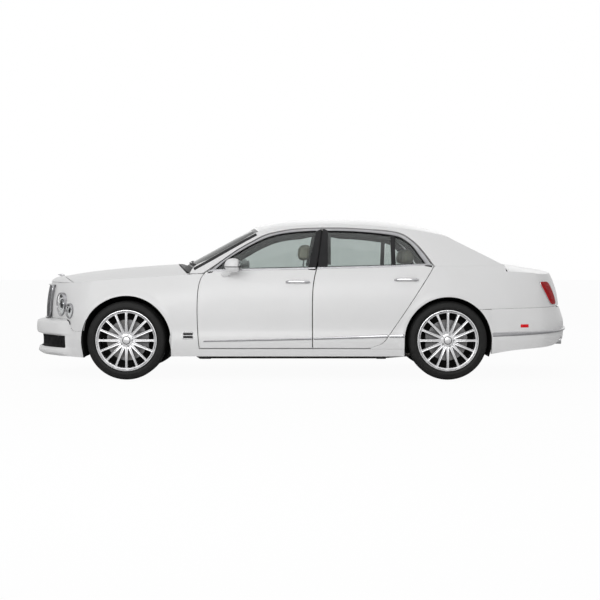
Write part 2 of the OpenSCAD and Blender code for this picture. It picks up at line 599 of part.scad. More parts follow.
module front_bumper() {
    e = fx(-arch_f - 3);
    color("white") pressed() {
        panel(whole(front_part(s_nose, s_n(5) + 30, sill_z + 190, 0)), steps(20),
            [0, 0.13, 0.5, 0.8, 0.94, 1], 30);
        panel(whole(front_part(s_nose, s_n(5) + 30, 0, sill_z + 70)), steps(20), [0, 0.35, 0.8, 1], 40);
        both() panel(front_part(s_n(5) - 20, e, 0, 0), steps(5), steps(8), 30);
        box([fx(-790), -frame_y, 430], [fx(-740.5), frame_y, 475]);
        both() box([fx(-905), frame_y - 68, 432], [fx(-780), frame_y - 8, 472]);
    }
}
module intake_grille() {
    color("dimgray") bars(function (s, z) bumper_f(s, z),
        s_nose, s_n(5) - 74, sill_z + 74.8, sill_z + 185.2, 2, 7, 4, 10);
}
push_r = [[rx(arch_r), 2], [rx(650), 22], [s_t(2), 46], [s_t(4), 55], [s_tail, 57]];
prof_r = [[sill_z + 20, 0.35], [sill_z + 110, 0.6], [sill_z + 200, 0.9], [sill_z + 258, 1],
    [sill_z + 340, 0.85],
    [sill_z + 480, 0.35]];
bot_r = [[rx(arch_r), sill_z + 24], [rx(650), sill_z + 60], [s_t(2), sill_z + 95], [s_tail, sill_z + 110]];
function bumper_r(u, v) =
    let (s = lerp(s_tail, rx(arch_r + 2), u),
        z = lerp(spl(bot_r, s), spl(top_r, s) - (s > s_lid ? 8 : 1),
            v)) band(s, z, spl(push_r, s) * spl(prof_r, z));
module rear_bumper() {
    color("white") pressed() difference() {
        union() {
            panel(function (u, v) whole(function (a, b) bumper_r(a, b))(1 - u, v), steps(24), steps(7), 30);
            both() panel(function (u, v) let (z = lerp(hub_z, spl(top_r, rx(306)) - 2, v),
                x0 = rx(sqrt(arch_r * arch_r - pow(z - hub_z, 2)) + 2)) flank(lerp(x0, rx(arch_r + 30),
                    u), z),
                steps(4), steps(6), 28);
            box([rx(1060.5), -500 * w, 450], [rx(1180), 500 * w, 520]);
        }
        translate(eye) rotate([0, 90, 0]) cylinder(r = eye_r + 6, h = 400);
        both() rod([rx(900), 502.5, 366], [rx(1320), 593.6, 366], 42, $fn = 24);
        box([rx(1262), -160, 432], [rx(1400), 160, 568]);
    }
}
// Floor with tunnel, bulkhead and rails
fy = hw - 175;
// Towing eye behind the rear bumper
eye = [rx(1030), 480, 580];
eye_r = 9;
// Front edge of the rear bench and wall behind it
bench_x = rx(-1000);
seat_wall_x = rx(-220);
module floor_pan() {
    color("gray") union() {
        box([fx(690), -fy, floor_z - 30], [rx(-560), fy, floor_z]);
        box([fx(690), -140, floor_z - 10], [bench_x - 0.4, 140, floor_z + 150]);
        box([fx(680), -fy, floor_z - 30], [fx(700), fy, bz(-84)]);
        both() box([fx(-740), frame_y - 78, 425], [fx(690), frame_y, 480]);
        both() for (x = [fx(770), rx(-640)]) box([x - 45, fy - 60, floor_z - 46],
            [x + 45, fy - 4, floor_z - 20]);
        box([rx(-580), -boot_y, floor_z - 30], [rx(-555), boot_y, 465]);
        both() difference() {
            union() {
                lateral([bh_x, bh_y - 8, bh_z], 13, 20);
                box([bh_x + 4, bh_y - 8, bh_z - 50], [fx(690), bh_y + 12, bh_z - 8]);
            }
            lateral([bh_x, bh_y - 30, bh_z], pin_r + 1 + pin_play, 60);
        }
    }
}
// Boot floor with its rear panel, the wall behind the rear seat, parcel shelf and lid brackets
module boot_floor() {
    color("gray") union() {
        box([rx(-554.6), -boot_y, 440], [rx(1060), boot_y, 465]);
        difference() {
            box([rx(1035), -boot_y, 440], [rx(1060), boot_y, 660]);
            translate(eye) rotate([0, 90, 0]) cylinder(r = eye_r, h = 40);
        }
        box([seat_wall_x, -boot_y, bz(-70)], [gh_x - 40, boot_y, bz(-50)]);
        box([seat_wall_x, -boot_y, 460], [seat_wall_x + 15, boot_y, bz(-60)]);
        both() box([gh_x - 60, gh_y + 26, bz(-90)], [gh_x + 20, gh_y + 50, gh_z + 20]);
        both() lateral([gh_x, gh_y - 12, gh_z], pin_r + 3, 40);
    }
}
// Sills, hinge posts and centre posts
post_zs = [sill_z + 60, 700, bz(-84), bz(10), bz(70), rz(-280), rz(-128.4)];
post_in = [door_t + 12, door_t + 12, door_t + 12, door_t + 12, frame_t + 12, frame_t + 12, frame_t + 12];
module post_b() {
    wall([for (i = [0:6]) [for (d = [-45, 45]) let (z = post_zs[i]) flank(x_b(z) + d, z) - [0,
        post_in[i], 0]]],
        [for (i = [0:6]) [for (d = [-45, 45]) let (z = post_zs[i]) flank(x_b(z) + d, z) - [0,
            post_in[i] + (i < 4 ? 62 : 40), 0]]]);
}
module sills() {
    color("white") both() pressed() {
        panel(function (u, v) band(lerp(fx(arch_f + 1), rx(-arch_r - 1), u),
            lerp(sill_z, wing_bz - 0.5, v)), steps(14),
            steps(3), 60);
        box([fx(450), fy, sill_z], [rx(-440), hw - 70, sill_z + 66]);
        box([fx(600), fy, sill_z + 40], [fx(672), hw - 110, bz(-150)]);
        post_b();
    }
}
// Hinge brackets of the four doors
module bracket_f(z) {
    x = hx_f();
    y = hy(x);
    difference() {
        union() {
            translate([x, y, z - 14]) cylinder(r = 8, h = 28);
            box([x - 6, hw - 128, z - 14], [x + 6, y - 5, z + 14]);
            box([fx(672.4), hw - 128, z - 14], [x + 6, hw - 114, z + 14]);
        }
        translate([x, y, z - 20]) cylinder(r = pin_r + pin_play, h = 40);
    }
}
module bracket_r(z) {
    x = hx_r();
    y = hy(x);
    difference() {
        union() {
            translate([x, y, z - 14]) cylinder(r = 8, h = 28);
            box([x - 6, flank(x, z)[1] - door_t - 9.6, z - 14], [x + 6, y - 5, z + 14]);
        }
        translate([x, y, z - 20]) cylinder(r = pin_r + pin_play, h = 40);
    }
}
module door_hinges() {
    color("gray") both() for (z = hinge_zs) {
        bracket_f(z);
        bracket_r(z);
    }
}
module wheel_house(x, r, y0, y1) {
    difference() {
        translate([x, y0, hub_z]) rotate([-90, 0, 0]) cylinder(r = r + 10, h = y1 - y0);
        translate([x, y0 + 10, hub_z]) rotate([-90, 0, 0]) cylinder(r = r, h = y1);
        translate([x - 700, y0 - 1, -400]) cube([1400, 900, hub_z + 350]);
    }
}
module wheel_houses() {
    color("dimgray") both() {
        wheel_house(x_fa, house_f, frame_y + 1, hw - 135);
        wheel_house(x_ra, house_r, boot_y + seam, hw - 70);
    }
}

// Machinery
module engine_block() {
    color("silver") union() {
        box([fx(-330), -300, 330], [fx(420), 300, 700]);
        box([fx(-290), -360, 560], [fx(380), 360, 840]);
        box([fx(420), -170, 330], [fx(679.5), 170, 560]);
    }
}
module front_subframe() {
    color("dimgray") union() {
        box([fx(-120), -frame_y, 270], [fx(120), frame_y, 329.5]);
        both() box([fx(-60), frame_y - 78, 320], [fx(60), frame_y, 399.5]);
        both() box([fx(-34), frame_y - 8, hub_z - 176], [fx(34), kingpin_y, hub_z - 150.4]);
        both() translate([x_fa, kingpin_y, hub_z - 176]) cylinder(r = 34, h = 25.6);
        both() box([fx(-34), frame_y - 48, hub_z - 176], [fx(34), frame_y - 1, 280]);
        both() box([fx(-24), frame_y + 11.6, hub_z + 150.4], [fx(24), kingpin_y, hub_z + 172]);
        both() translate([x_fa, kingpin_y, hub_z + 150.4]) cylinder(r = 26, h = 21.6);
    }
}
module knuckle_at(x, y, k, side) {
    translate([x, y, hub_z]) difference() {
        union() {
            translate([0, -45, 0]) rotate([-90, 0, 0]) cylinder(r = 30, h = 81);
            box([-42, k - 26, -130], [42, -18, 130]);
            translate([0, k, -150]) cylinder(r = 24, h = 300);
            box([side * 30 - 30, -60, -60], [side * 30 + 30, -24, 60]);
            box([min(side * 60, side * 214), -62, -86], [max(side * 60, side * 214), -24, 86]);
            box([min(side * 110, side * 214), -62, -86], [max(side * 110, side * 214), 62, 86]);
        }
        translate([0, -17, 0]) rotate([-90, 0, 0]) difference() {
            cylinder(r = disc_d / 2 + 7, h = 50);
            translate([0, 0, -1]) cylinder(r = 30, h = 60);
        }
        rotate([-90, 0, 0]) translate([0, 0, -14]) difference() {
            cylinder(r = 108, h = 120);
            translate([0, 0, -1]) cylinder(r = 30, h = 130);
        }
    }
}
module front_knuckle_left() { color("gray") mirror([0, 1, 0]) knuckle_at(x_fa, y_fw, -62, 1); }
module front_knuckle_right() { color("gray") knuckle_at(x_fa, y_fw, -62, 1); }
module rear_knuckles() {
    color("gray") both() knuckle_at(x_ra, y_rw, -62, -1);
}
module rear_subframe() {
    color("dimgray") union() {
        box([rx(-160), -420, 290], [rx(160), 420, 439.5]);
        both() box([rx(-34), 400, hub_z - 176], [rx(34), y_rw - 62, hub_z - 150.4]);
        both() box([rx(-34), 400, hub_z - 176], [rx(34), 420, 300]);
        both() box([rx(-24), boot_y + seam + 10.4, hub_z + 150.4], [rx(24), y_rw - 62, hub_z + 172]);
    }
}
pipe = [[fx(430), 90, 290], [fx(660), 90, 174], [rx(-600), 90, 174], [rx(200), 90, 236], [rx(430),
    90, 350]];
module exhaust() {
    color("silver") union() {
        box([rx(420), -520, 300], [rx(760), 520, 439.5]);
        both() for (i = [0:3]) rod(pipe[i], pipe[i + 1], 30);
        both() for (i = [1:3]) translate(pipe[i]) sphere(r = 34);
        both() rod([rx(750), 470, 366], [rx(1165), 560, 366], 32);
    }
}

// Wheels
module tyre_at(x, y) {
    h = tyre_w / 2;
    r = rim_d / 2;
    translate([x, y, hub_z]) rotate([90, 0, 0]) rotate_extrude($fn = 72) polygon([for (p = concat(
        [[r - 16.7, h - 21], [r + 3, h - 21], [r + 10, h - 8], [r + 36, h], [hub_z - 24, h - 5],
            [hub_z - 8, h - 20],
            [hub_z, h - 46]],
        [[hub_z, 46 - h], [hub_z - 8, 20 - h], [hub_z - 24, 5 - h], [r + 36, -h], [r + 10, 8 - h],
            [r + 3, 21 - h],
            [r - 16.7, 21 - h]])) p]);
}
module rim_at(x, y) {
    h = tyre_w / 2;
    r = rim_d / 2;
    translate([x, y, hub_z]) rotate([-90, 0, 0]) union() {
        rotate_extrude($fn = 72) polygon([[r - 30, 9 - h], [r, 9 - h], [r, 20.4 - h],
            [r - 17, 20.4 - h], [r - 17, h - 20.4],
            [r, h - 20.4], [r, h - 9], [r - 30, h - 9]]);
        translate([0, 0, 76]) linear_extrude(26) {
            circle(r = 78);
            for (i = [0:spokes - 1]) rotate(i * 360 / spokes) polygon([[60, -15], [r - 29, -9],
                [r - 29, 9], [60, 15]]);
        }
        translate([0, 0, 40.3]) cylinder(r = 78, h = 40);
    }
}
module hub_at(x, y) {
    translate([x, y, hub_z]) rotate([-90, 0, 0]) difference() {
        union() {
            translate([0, 0, -10]) cylinder(r = disc_d / 2, h = 36);
            translate([0, 0, 20]) cylinder(r = 92, h = 20);
        }
        translate([0, 0, -20]) cylinder(r = 30 + pin_play, h = 80);
    }
}
module tyre_fl() { color("black") mirror([0, 1, 0]) tyre_at(x_fa, y_fw); }
module tyre_fr() { color("black") tyre_at(x_fa, y_fw); }
module tyre_rl() { color("black") mirror([0, 1, 0]) tyre_at(x_ra, y_rw); }
module tyre_rr() { color("black") tyre_at(x_ra, y_rw); }
module rim_fl() { color("silver") mirror([0, 1, 0]) rim_at(x_fa, y_fw); }
module rim_fr() { color("silver") rim_at(x_fa, y_fw); }
module rim_rl() { color("silver") mirror([0, 1, 0]) rim_at(x_ra, y_rw); }
module rim_rr() { color("silver") rim_at(x_ra, y_rw); }
module hub_fl() { color("gray") mirror([0, 1, 0]) hub_at(x_fa, y_fw); }
module hub_fr() { color("gray") hub_at(x_fa, y_fw); }
module hub_rl() { color("gray") mirror([0, 1, 0]) hub_at(x_ra, y_rw); }
module hub_rr() { color("gray") hub_at(x_ra, y_rw); }

// Cabin fittings
module dashboard() {
    color("saddlebrown") union() {
        translate([0, 700 * w, 0]) rotate([90, 0, 0]) linear_extrude(1400 * w) polygon([[fx(700.4),
            640], [fx(880), 600],
            [fx(990), 720], [fx(985), 900], [fx(900), bz(-94)], [fx(700.4), bz(-110)]]);
        box([fx(860), -130, floor_z + 150.4], [fx(1750), 130, 560]);
    }
}
module steering_wheel() {
    color("saddlebrown") translate([fx(1120), -370, 890]) rotate([0, 66, 0]) union() {
        rotate_extrude() translate([178, 0]) circle(r = 15, $fn = 24);
        linear_extrude(20, center = true) union() {
            circle(r = 62);
            for (a = [0, 90, 180]) rotate(a + 90) translate([0, -15]) square([172, 30]);
        }
        translate([0, 0, -131.5]) cylinder(r = 30, h = 125);
    }
}
module seat(x, y, wd, z0) {
    translate([x, y + wd / 2, z0]) rotate([90, 0, 0]) linear_extrude(wd) union() {
        polygon([[0, 210], [6, 300], [40, 325], [420, 276], [500, 860], [530, 900], [590, 900],
            [612, 850], [560, 250], [500, 180], [40, 170]]);
        polygon([[60, 0], [500, 0], [500, 190], [60, 190]]);
    }
    translate([x, y, z0]) {
        box([475, -130, 920], [600, 130, 1085]);
        both() box([545, 40, 890], [560, 55, 930]);
    }
}
module front_seats() {
    color("wheat") both() seat(fx(1200), 395 * w, 500, floor_z + 0.4);
}
module rear_seat() {
    color("wheat") union() {
        translate([0, boot_y - 4, 0]) rotate([90, 0, 0]) linear_extrude(2 * boot_y - 8)
            polygon([[bench_x + 20, floor_z + 0.4], [bench_x, 330], [bench_x, 520], [bench_x + 50, 560],
                [bench_x + 470, 520], [bench_x + 620, bz(-10)], [bench_x + 650, bz(18)],
                [bench_x + 720, bz(18)], [seat_wall_x - 0.5, bz(-52)], [seat_wall_x - 0.5, 466],
                [rx(-580.4), 466], [rx(-580.4), floor_z + 0.4]]);
        for (y = [-390, 0, 390]) {
            box([bench_x + 600, y - 120, bz(42)], [bench_x + 715, y + 120, bz(196)]);
            box([bench_x + 665, y - 30, bz(10)], [bench_x + 680, y + 30, bz(50)]);
        }
    }
}
module number_plate() {
    color("white") translate([rx(1262.4), 0, 0]) difference() {
        box([0, -150, 440], [8, 150, 560]);
        for (y = [-89, 89]) translate([-20, y, 500]) rotate([0, 90, 0]) cylinder(r = 4, h = 60);
    }
}

floor_pan();
boot_floor();
sills();
door_hinges();
wheel_houses();
side_frames();
roof_panel();
rear_quarters();
front_wings();
nose_panel();
cowl_panel();
front_bumper();
rear_bumper();
radiator_grille();
intake_grille();
headlamps();
tail_lamps();
windscreen();
rear_window();
dashboard();
steering_wheel();
front_seats();
rear_seat();
engine_block();
front_subframe();
rear_subframe();
rear_knuckles();
exhaust();
number_plate();
bonnet();
boot_lid();
front_door_left();
front_door_right();
rear_door_left();
rear_door_right();
front_glass_left();
front_glass_right();
rear_glass_left();
rear_glass_right();
front_handle_left();
front_handle_right();
rear_handle_left();
rear_handle_right();
mirror_left();
mirror_right();
front_knuckle_left();
front_knuckle_right();
tyre_fl();
tyre_fr();
tyre_rl();
tyre_rr();
rim_fl();
rim_fr();
rim_rl();
rim_rr();
hub_fl();
hub_fr();
hub_rl();
hub_rr();
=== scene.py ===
"""White four-door luxury sedan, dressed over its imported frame: painted panels, glass, bright trim,
lamps, wheels and a cream leather cabin. All shapes are worked out in millimetres and stored in metres."""
import math
import bpy
import numpy as np
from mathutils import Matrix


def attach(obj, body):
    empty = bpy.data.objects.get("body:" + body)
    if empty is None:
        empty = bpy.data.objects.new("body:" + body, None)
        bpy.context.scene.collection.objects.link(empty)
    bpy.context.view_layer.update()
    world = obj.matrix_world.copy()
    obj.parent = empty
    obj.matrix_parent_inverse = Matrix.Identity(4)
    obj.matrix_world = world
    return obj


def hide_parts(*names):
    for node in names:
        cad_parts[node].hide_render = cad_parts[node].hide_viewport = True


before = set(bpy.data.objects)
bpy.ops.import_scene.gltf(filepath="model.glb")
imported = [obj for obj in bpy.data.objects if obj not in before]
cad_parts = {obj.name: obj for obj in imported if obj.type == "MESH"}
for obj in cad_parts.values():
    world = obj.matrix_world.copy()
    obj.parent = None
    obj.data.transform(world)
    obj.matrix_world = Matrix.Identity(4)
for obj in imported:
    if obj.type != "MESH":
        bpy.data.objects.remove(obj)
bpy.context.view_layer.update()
scene = bpy.context.scene
RIGHT, LEFT = 1, -1

# Sizes of the car, as in the part's source
X_FA, X_RA, B_X = -1702.0, 1434.0, 116.88
HW, ROOF, BELT, SILL, HUB_Z = 965.0, 1586.0, 1084.0, 229.0, 385.0
ARCH_F, ARCH_R, RAIL_Z = 437.0, 425.0, 1485.0
Y_FW, Y_RW = 810.0, 823.0
DOOR_Z, WING_Z = SILL + 84, SILL + 73


def fx(d): return X_FA + d
def rx(d): return X_RA + d
def bz(d): return BELT + d
def rz(d): return ROOF + d


# Curves
def curve(points, x):
    """Cubic through (position, value...) rows; the tangent at a row is the slope between its neighbours."""
    P = np.asarray(points, float)
    t, v = P[:, 0], P[:, 1:]
    x = np.asarray(x, float)
    k = np.arange(len(t))
    lo, hi = np.maximum(k - 1, 0), np.minimum(k + 1, len(t) - 1)
    m = (v[hi] - v[lo]) / (t[hi] - t[lo])[:, None]
    i = np.clip(np.searchsorted(t, x, side="right") - 1, 0, len(t) - 2)
    h = (t[i + 1] - t[i])[..., None]
    q = np.clip((x - t[i])[..., None] / h, 0, 1)
    r = ((2 * q**3 - 3 * q**2 + 1) * v[i] + (q**3 - 2 * q**2 + q) * h * m[i]
         + (3 * q**2 - 2 * q**3) * v[i + 1] + (q**3 - q**2) * h * m[i + 1])
    return r[..., 0] if r.shape[-1] == 1 else r


def through(points, t, corners=()):
    """Smooth line through points, t from 0 to 1 by even steps of index; tangents weigh the two legs by
    their lengths, and at a corner each side keeps its own leg's direction."""
    P = np.asarray(points, float)
    n = len(P)
    leg = np.diff(P, axis=0)
    d = np.linalg.norm(leg, axis=1)
    s = leg / d[:, None]
    left, right = np.empty_like(P), np.empty_like(P)
    left[1:], right[:-1] = s, s
    left[0], right[-1] = s[0], s[-1]
    mid = (s[1:] * d[:-1, None] + s[:-1] * d[1:, None]) / (d[1:] + d[:-1])[:, None]
    soft = np.setdiff1d(np.arange(1, n - 1), corners)
    left[soft] = right[soft] = mid[soft - 1]
    k = np.clip(np.asarray(t, float), 0, 1) * (n - 1)
    i = np.minimum(np.floor(k).astype(int), n - 2)
    q, h = (k - i)[..., None], d[i][..., None]
    return ((2 * q**3 - 3 * q**2 + 1) * P[i] + (q**3 - 2 * q**2 + q) * h * right[i]
            + (3 * q**2 - 2 * q**3) * P[i + 1] + (q**3 - q**2) * h * left[i + 1])


def mix(a, b, t): return a + (b - a) * t
def ease(t): return np.clip(t, 0, 1)**2 * (3 - 2 * np.clip(t, 0, 1))
def xyz(x, y, z): return np.stack(np.broadcast_arrays(x, y, z), -1).astype(float)
def unit(v): return v / np.maximum(np.linalg.norm(v, axis=-1, keepdims=True), 1e-9)
def grid(nu, nv, u=(0, 1), v=(0, 1)): return np.meshgrid(np.linspace(*u, nu + 1), np.linspace(*v, nv + 1))


# Plan outline of the body at its widest, station s running from the nose round to the tail
NOSE = np.array([[-938, 0], [-916, 150], [-841, 330], [-701, 560], [-585, 740], [-488, 850], [-378, 920]],
                float) + [X_FA, 0]
TAIL = np.array([[666, 902], [911, 822], [1021, 728], [1111, 605], [1181, 410], [1211, 200], [1221, 0]],
                float) + [X_RA, 0]
RUN_N = np.concatenate([[0], np.cumsum(np.linalg.norm(np.diff(NOSE, axis=0), axis=1))])
RUN_T = np.concatenate([[0], np.cumsum(np.linalg.norm(np.diff(TAIL, axis=0), axis=1))])
S_N, S_T = NOSE[6, 0] - RUN_N[6] + RUN_N, TAIL[0, 0] + RUN_T
S_NOSE, S_TAIL = S_N[0], S_T[6]
SIDE = [[fx(-200), HW - 18], [fx(0), HW - 14], [fx(700), HW - 12], [B_X, HW - 8], [rx(-600), HW - 4], [rx(0), HW],
        [rx(266), HW - 14], [rx(466), HW - 33]]
OUTLINE = np.vstack([[S_NOSE - RUN_N[1], NOSE[1, 0], -NOSE[1, 1]], np.column_stack([S_N, NOSE]),
                     [[p[0], p[0], p[1]] for p in SIDE], np.column_stack([S_T, TAIL]),
                     [S_TAIL + S_T[6] - S_T[5], TAIL[5, 0], -TAIL[5, 1]]])
SHOULDER = [[S_NOSE, bz(-144)], [S_N[3], bz(-139)], [S_N[4], bz(-134)], [fx(599), bz(-57)], [fx(695), bz(-39)],
            [fx(770), bz(-32)], [fx(852), bz(-20)], [B_X, bz(0)], [rx(-554), bz(20)], [rx(-219), bz(36)],
            [rx(-134), bz(30)], [rx(66), bz(8)], [rx(366), bz(-12)], [rx(603), bz(-26)], [rx(866), bz(-39)],
            [S_T[2], bz(-52)], [S_T[4], bz(-50)], [S_TAIL, bz(-42)]]
LEAN = [[S_NOSE, 40], [S_N[3], 60], [S_N[4], 95], [fx(0), 115], [fx(600), 105], [fx(900), 88], [B_X, 84],
        [rx(-200), 88], [rx(366), 100], [rx(866), 100], [S_T[2], 95], [S_TAIL, 90]]
LOW = [[0, 45], [0.083, 24], [0.2, 3], [0.32, 18], [0.52, 0], [1, 0]]
SKIRT = [[S_NOSE, 0.3], [fx(-400), 0.5], [fx(500), 1], [rx(-500), 1], [rx(450), 0.6], [S_TAIL, 0.3]]
RAIL_Y = [[fx(700), 560], [fx(1287), 602], [fx(1702), 640], [B_X + 480, 645], [rx(-434), 630], [rx(3), 565],
          [rx(600), 430]]


def zsh(s): return curve(SHOULDER, s)


def lip(x, z, xw, r):
    """Soft flare round a wheel arch: a bell curve of the distance from its edge."""
    d = np.hypot(x - xw, z - HUB_Z) - r - 20
    return 9 * np.exp(-d * d / 900)


def band(s, z, out=0.0):
    """Flank point: the plan outline at s, moved along its normal by out less the tuck at height z."""
    s, z, out = np.broadcast_arrays(np.asarray(s, float), z, out)
    p, d = curve(OUTLINE, s), curve(OUTLINE, s + 2) - curve(OUTLINE, s - 2)
    n = unit(np.stack([-d[..., 1], d[..., 0]], -1))
    h = (z - SILL) / (zsh(s) - SILL)
    tuck = (curve(LOW, h) * curve(SKIRT, s) + curve(LEAN, s) * np.maximum(0, (h - 0.5) / 0.5)**2.2
            - lip(s, z, X_FA, ARCH_F) - lip(s, z, X_RA, ARCH_R))
    q = p + n * (out - tuck)[..., None]
    return xyz(q[..., 0], q[..., 1], z)


def flank(x, z):
    """Side of the car: the flank below the shoulder, and above it the cabin side leaning in to the cant rail."""
    x, z = np.broadcast_arrays(np.asarray(x, float), np.asarray(z, float))
    s = zsh(x)
    q = (z - s) / (RAIL_Z - s)
    y = mix(band(x, s)[..., 1] - 2, curve(RAIL_Y, x), 0.85 * q + 0.15 * q * q) - 0.005 * np.maximum(0, z - rz(-136))**2
    return np.where((z <= s)[..., None], band(x, np.minimum(z, s)), xyz(x, y, z))


def normals(P):
    """Outward unit normals of a grid, rows along v and columns along u."""
    return unit(np.cross(np.gradient(P, axis=0), np.gradient(P, axis=1)))


# Mesh parts: (points, faces, finish number, uv) tuples that a piece joins
def sheet_faces(nr, nc):
    a = (np.arange(nr - 1)[:, None] * nc + np.arange(nc - 1)).ravel()
    return np.column_stack([a, a + nc, a + nc + 1, a + 1])


def shell(P, t, inset=0.0, sink=0.0, side=RIGHT, outer=0, inner=1, edge=None):
    """Closed wall: the grid P as outer face, an inner face t below it drawn in by inset, and a rim."""
    nr, nc = P.shape[:2]
    N = normals(P)
    Q = P - (t + sink) * N
    if inset:
        u = np.linspace(-1, 1, nc)[None, :, None]
        v = np.linspace(-1, 1, nr)[:, None, None]
        eu, ev = unit(np.gradient(P, axis=1)), unit(np.gradient(P, axis=0))
        Q = Q - inset * (np.sign(u) * np.abs(u)**12 * eu + np.sign(v) * np.abs(v)**12 * ev)
    V = np.concatenate([(P - sink * N).reshape(-1, 3), Q.reshape(-1, 3)])
    f = sheet_faces(nr, nc)
    k = np.arange(nr * nc).reshape(nr, nc)
    loop = np.concatenate([k[0, :-1], k[:-1, -1], k[-1, :0:-1], k[:0:-1, 0]])
    nxt, m = np.roll(loop, -1), nr * nc
    F = np.concatenate([f, np.column_stack([loop, nxt, nxt + m, loop + m]), f[:, ::-1] + m])
    mat = np.concatenate([np.full(len(f), outer), np.full(len(loop), outer if edge is None else edge),
                          np.full(len(f), inner)])
    return turned((V, F, mat), side)


def turned(part, side):
    """A part as built on the right, or its mirror image on the left with the faces turned round."""
    V, F, mat = part[:3]
    return (V, F, mat) if side == RIGHT else (V * [1, -1, 1], F[:, ::-1], mat)


def both(part): return [turned(part, RIGHT), turned(part, LEFT)]


def lathe(profile, at, n=64, finish=0, closed=True, axis=(0, 1, 0), up=(0, 0, 1)):
    """Profile rows (radius, distance along the axis) carried round the axis through at."""
    p = np.asarray(profile, float)
    a = np.linspace(0, 2 * np.pi, n, endpoint=False)
    w = unit(np.asarray(axis, float))
    e = unit(np.cross(np.asarray(up, float), w))
    g = np.cross(w, e)
    ring = np.cos(a)[:, None] * e + np.sin(a)[:, None] * g
    P = np.asarray(at, float) + p[None, :, 0, None] * ring[:, None, :] + p[None, :, 1, None] * w
    m = len(p)
    i, j = np.meshgrid(np.arange(n), np.arange(m if closed else m - 1), indexing="ij")
    i2, j2 = (i + 1) % n, (j + 1) % m
    F = np.stack([i * m + j, i * m + j2, i2 * m + j2, i2 * m + j], -1).reshape(-1, 4)
    return P.reshape(-1, 3), F, np.full(len(F), finish)


def sweep(path, across, out, section, finish=0, scale=None, ring=False):
    """Section rows (across, out) carried along a path with its own across and out directions; ends closed
    by fans unless the path is a ring."""
    P, S = np.asarray(path, float), np.asarray(section, float)
    k = np.ones(len(P)) if scale is None else np.asarray(scale, float)
    G = (P[:, None] + (k[:, None] * S[None, :, 0])[..., None] * across[:, None]
         + (k[:, None] * S[None, :, 1])[..., None] * out[:, None])
    n, m = G.shape[:2]
    i, j = np.meshgrid(np.arange(n if ring else n - 1), np.arange(m), indexing="ij")
    i2, j2 = (i + 1) % n, (j + 1) % m
    F = np.stack([i * m + j, i2 * m + j, i2 * m + j2, i * m + j2], -1).reshape(-1, 4)
    V = G.reshape(-1, 3)
    if not ring:
        q = np.arange(1, m - 1, 2)
        a, b = np.column_stack([np.zeros_like(q), q, q + 1, (q + 2) % m]), (n - 1) * m
        F = np.concatenate([F, a, a[:, ::-1] + b])
    return V, F, np.full(len(F), finish)


def oval(w, h, n=12, p=2.0):
    """Closed superellipse section, w across and h out."""
    a = np.linspace(0, 2 * np.pi, n, endpoint=False)
    c, s = np.cos(a), np.sin(a)
    return np.column_stack([np.sign(c) * np.abs(c)**(2 / p) * w / 2, np.sign(s) * np.abs(s)**(2 / p) * h / 2])


def frame_on(path, near):
    """Directions along a path that lies on a surface: out is the given normal squared off to the path."""
    t = unit(np.gradient(np.asarray(path, float), axis=0))
    out = unit(near - (near * t).sum(-1, keepdims=True) * t)
    return np.cross(t, out), out


def surf_normal(f, a, b, d=1.5):
    """Outward normal of a flank-like surface f at parameters a (along) and b (up)."""
    return unit(np.cross(f(a, b + d) - f(a, b - d), f(a + d, b) - f(a - d, b)))


def strip_on(f, a, b, w, h, lift=0.0, finish=0, scale=None, n=12, p=2.5):
    """A bright strip laid along the line (a, b) of a flank-like surface f."""
    N = surf_normal(f, a, b)
    path = f(a, b) + lift * N
    across, out = frame_on(path, N)
    return sweep(path, across, out, oval(w, h, n, p), finish, scale)


def block(a, b, finish=0, r=6.0, n=10):
    """Box from corner a to corner b with rounded upright edges: a superellipse carried up in four rings."""
    a, b = np.asarray(a, float), np.asarray(b, float)
    c, w = (a + b) / 2, (b - a)
    k = min(r, *(w / 2.01))
    z = np.array([a[2], a[2] + k * 0.3, a[2] + k, b[2] - k, b[2] - k * 0.3, b[2]])
    s = np.array([1 - 2 * k / min(w[:2]), 1 - 0.6 * k / min(w[:2]), 1, 1, 1 - 0.6 * k / min(w[:2]),
                  1 - 2 * k / min(w[:2])])
    path = xyz(c[0], c[1], z)
    one = np.ones((6, 1))
    return sweep(path, one * [1.0, 0, 0], one * [0, 1.0, 0], oval(w[0], w[1], 4 * n, 9), finish, s)


def dome(at, size, finish=0, nu=48, nv=24, p=2.0):
    """Closed ellipsoid: a superellipse turned about z, its three half sizes in size."""
    u, v = np.linspace(0, 2 * np.pi, nu, endpoint=False), np.linspace(-np.pi / 2, np.pi / 2, nv + 1)
    f = lambda c: np.sign(c) * np.abs(c)**(2 / p)
    P = xyz(f(np.cos(v))[:, None] * f(np.cos(u)), f(np.cos(v))[:, None] * f(np.sin(u)),
            f(np.sin(v))[:, None] * np.ones(nu))
    V = (P * np.asarray(size, float) + np.asarray(at, float)).reshape(-1, 3)
    i, j = np.meshgrid(np.arange(nv), np.arange(nu), indexing="ij")
    j2 = (j + 1) % nu
    F = np.stack([i * nu + j, i * nu + j2, (i + 1) * nu + j2, (i + 1) * nu + j], -1).reshape(-1, 4)
    return V, F, np.full(len(F), finish)


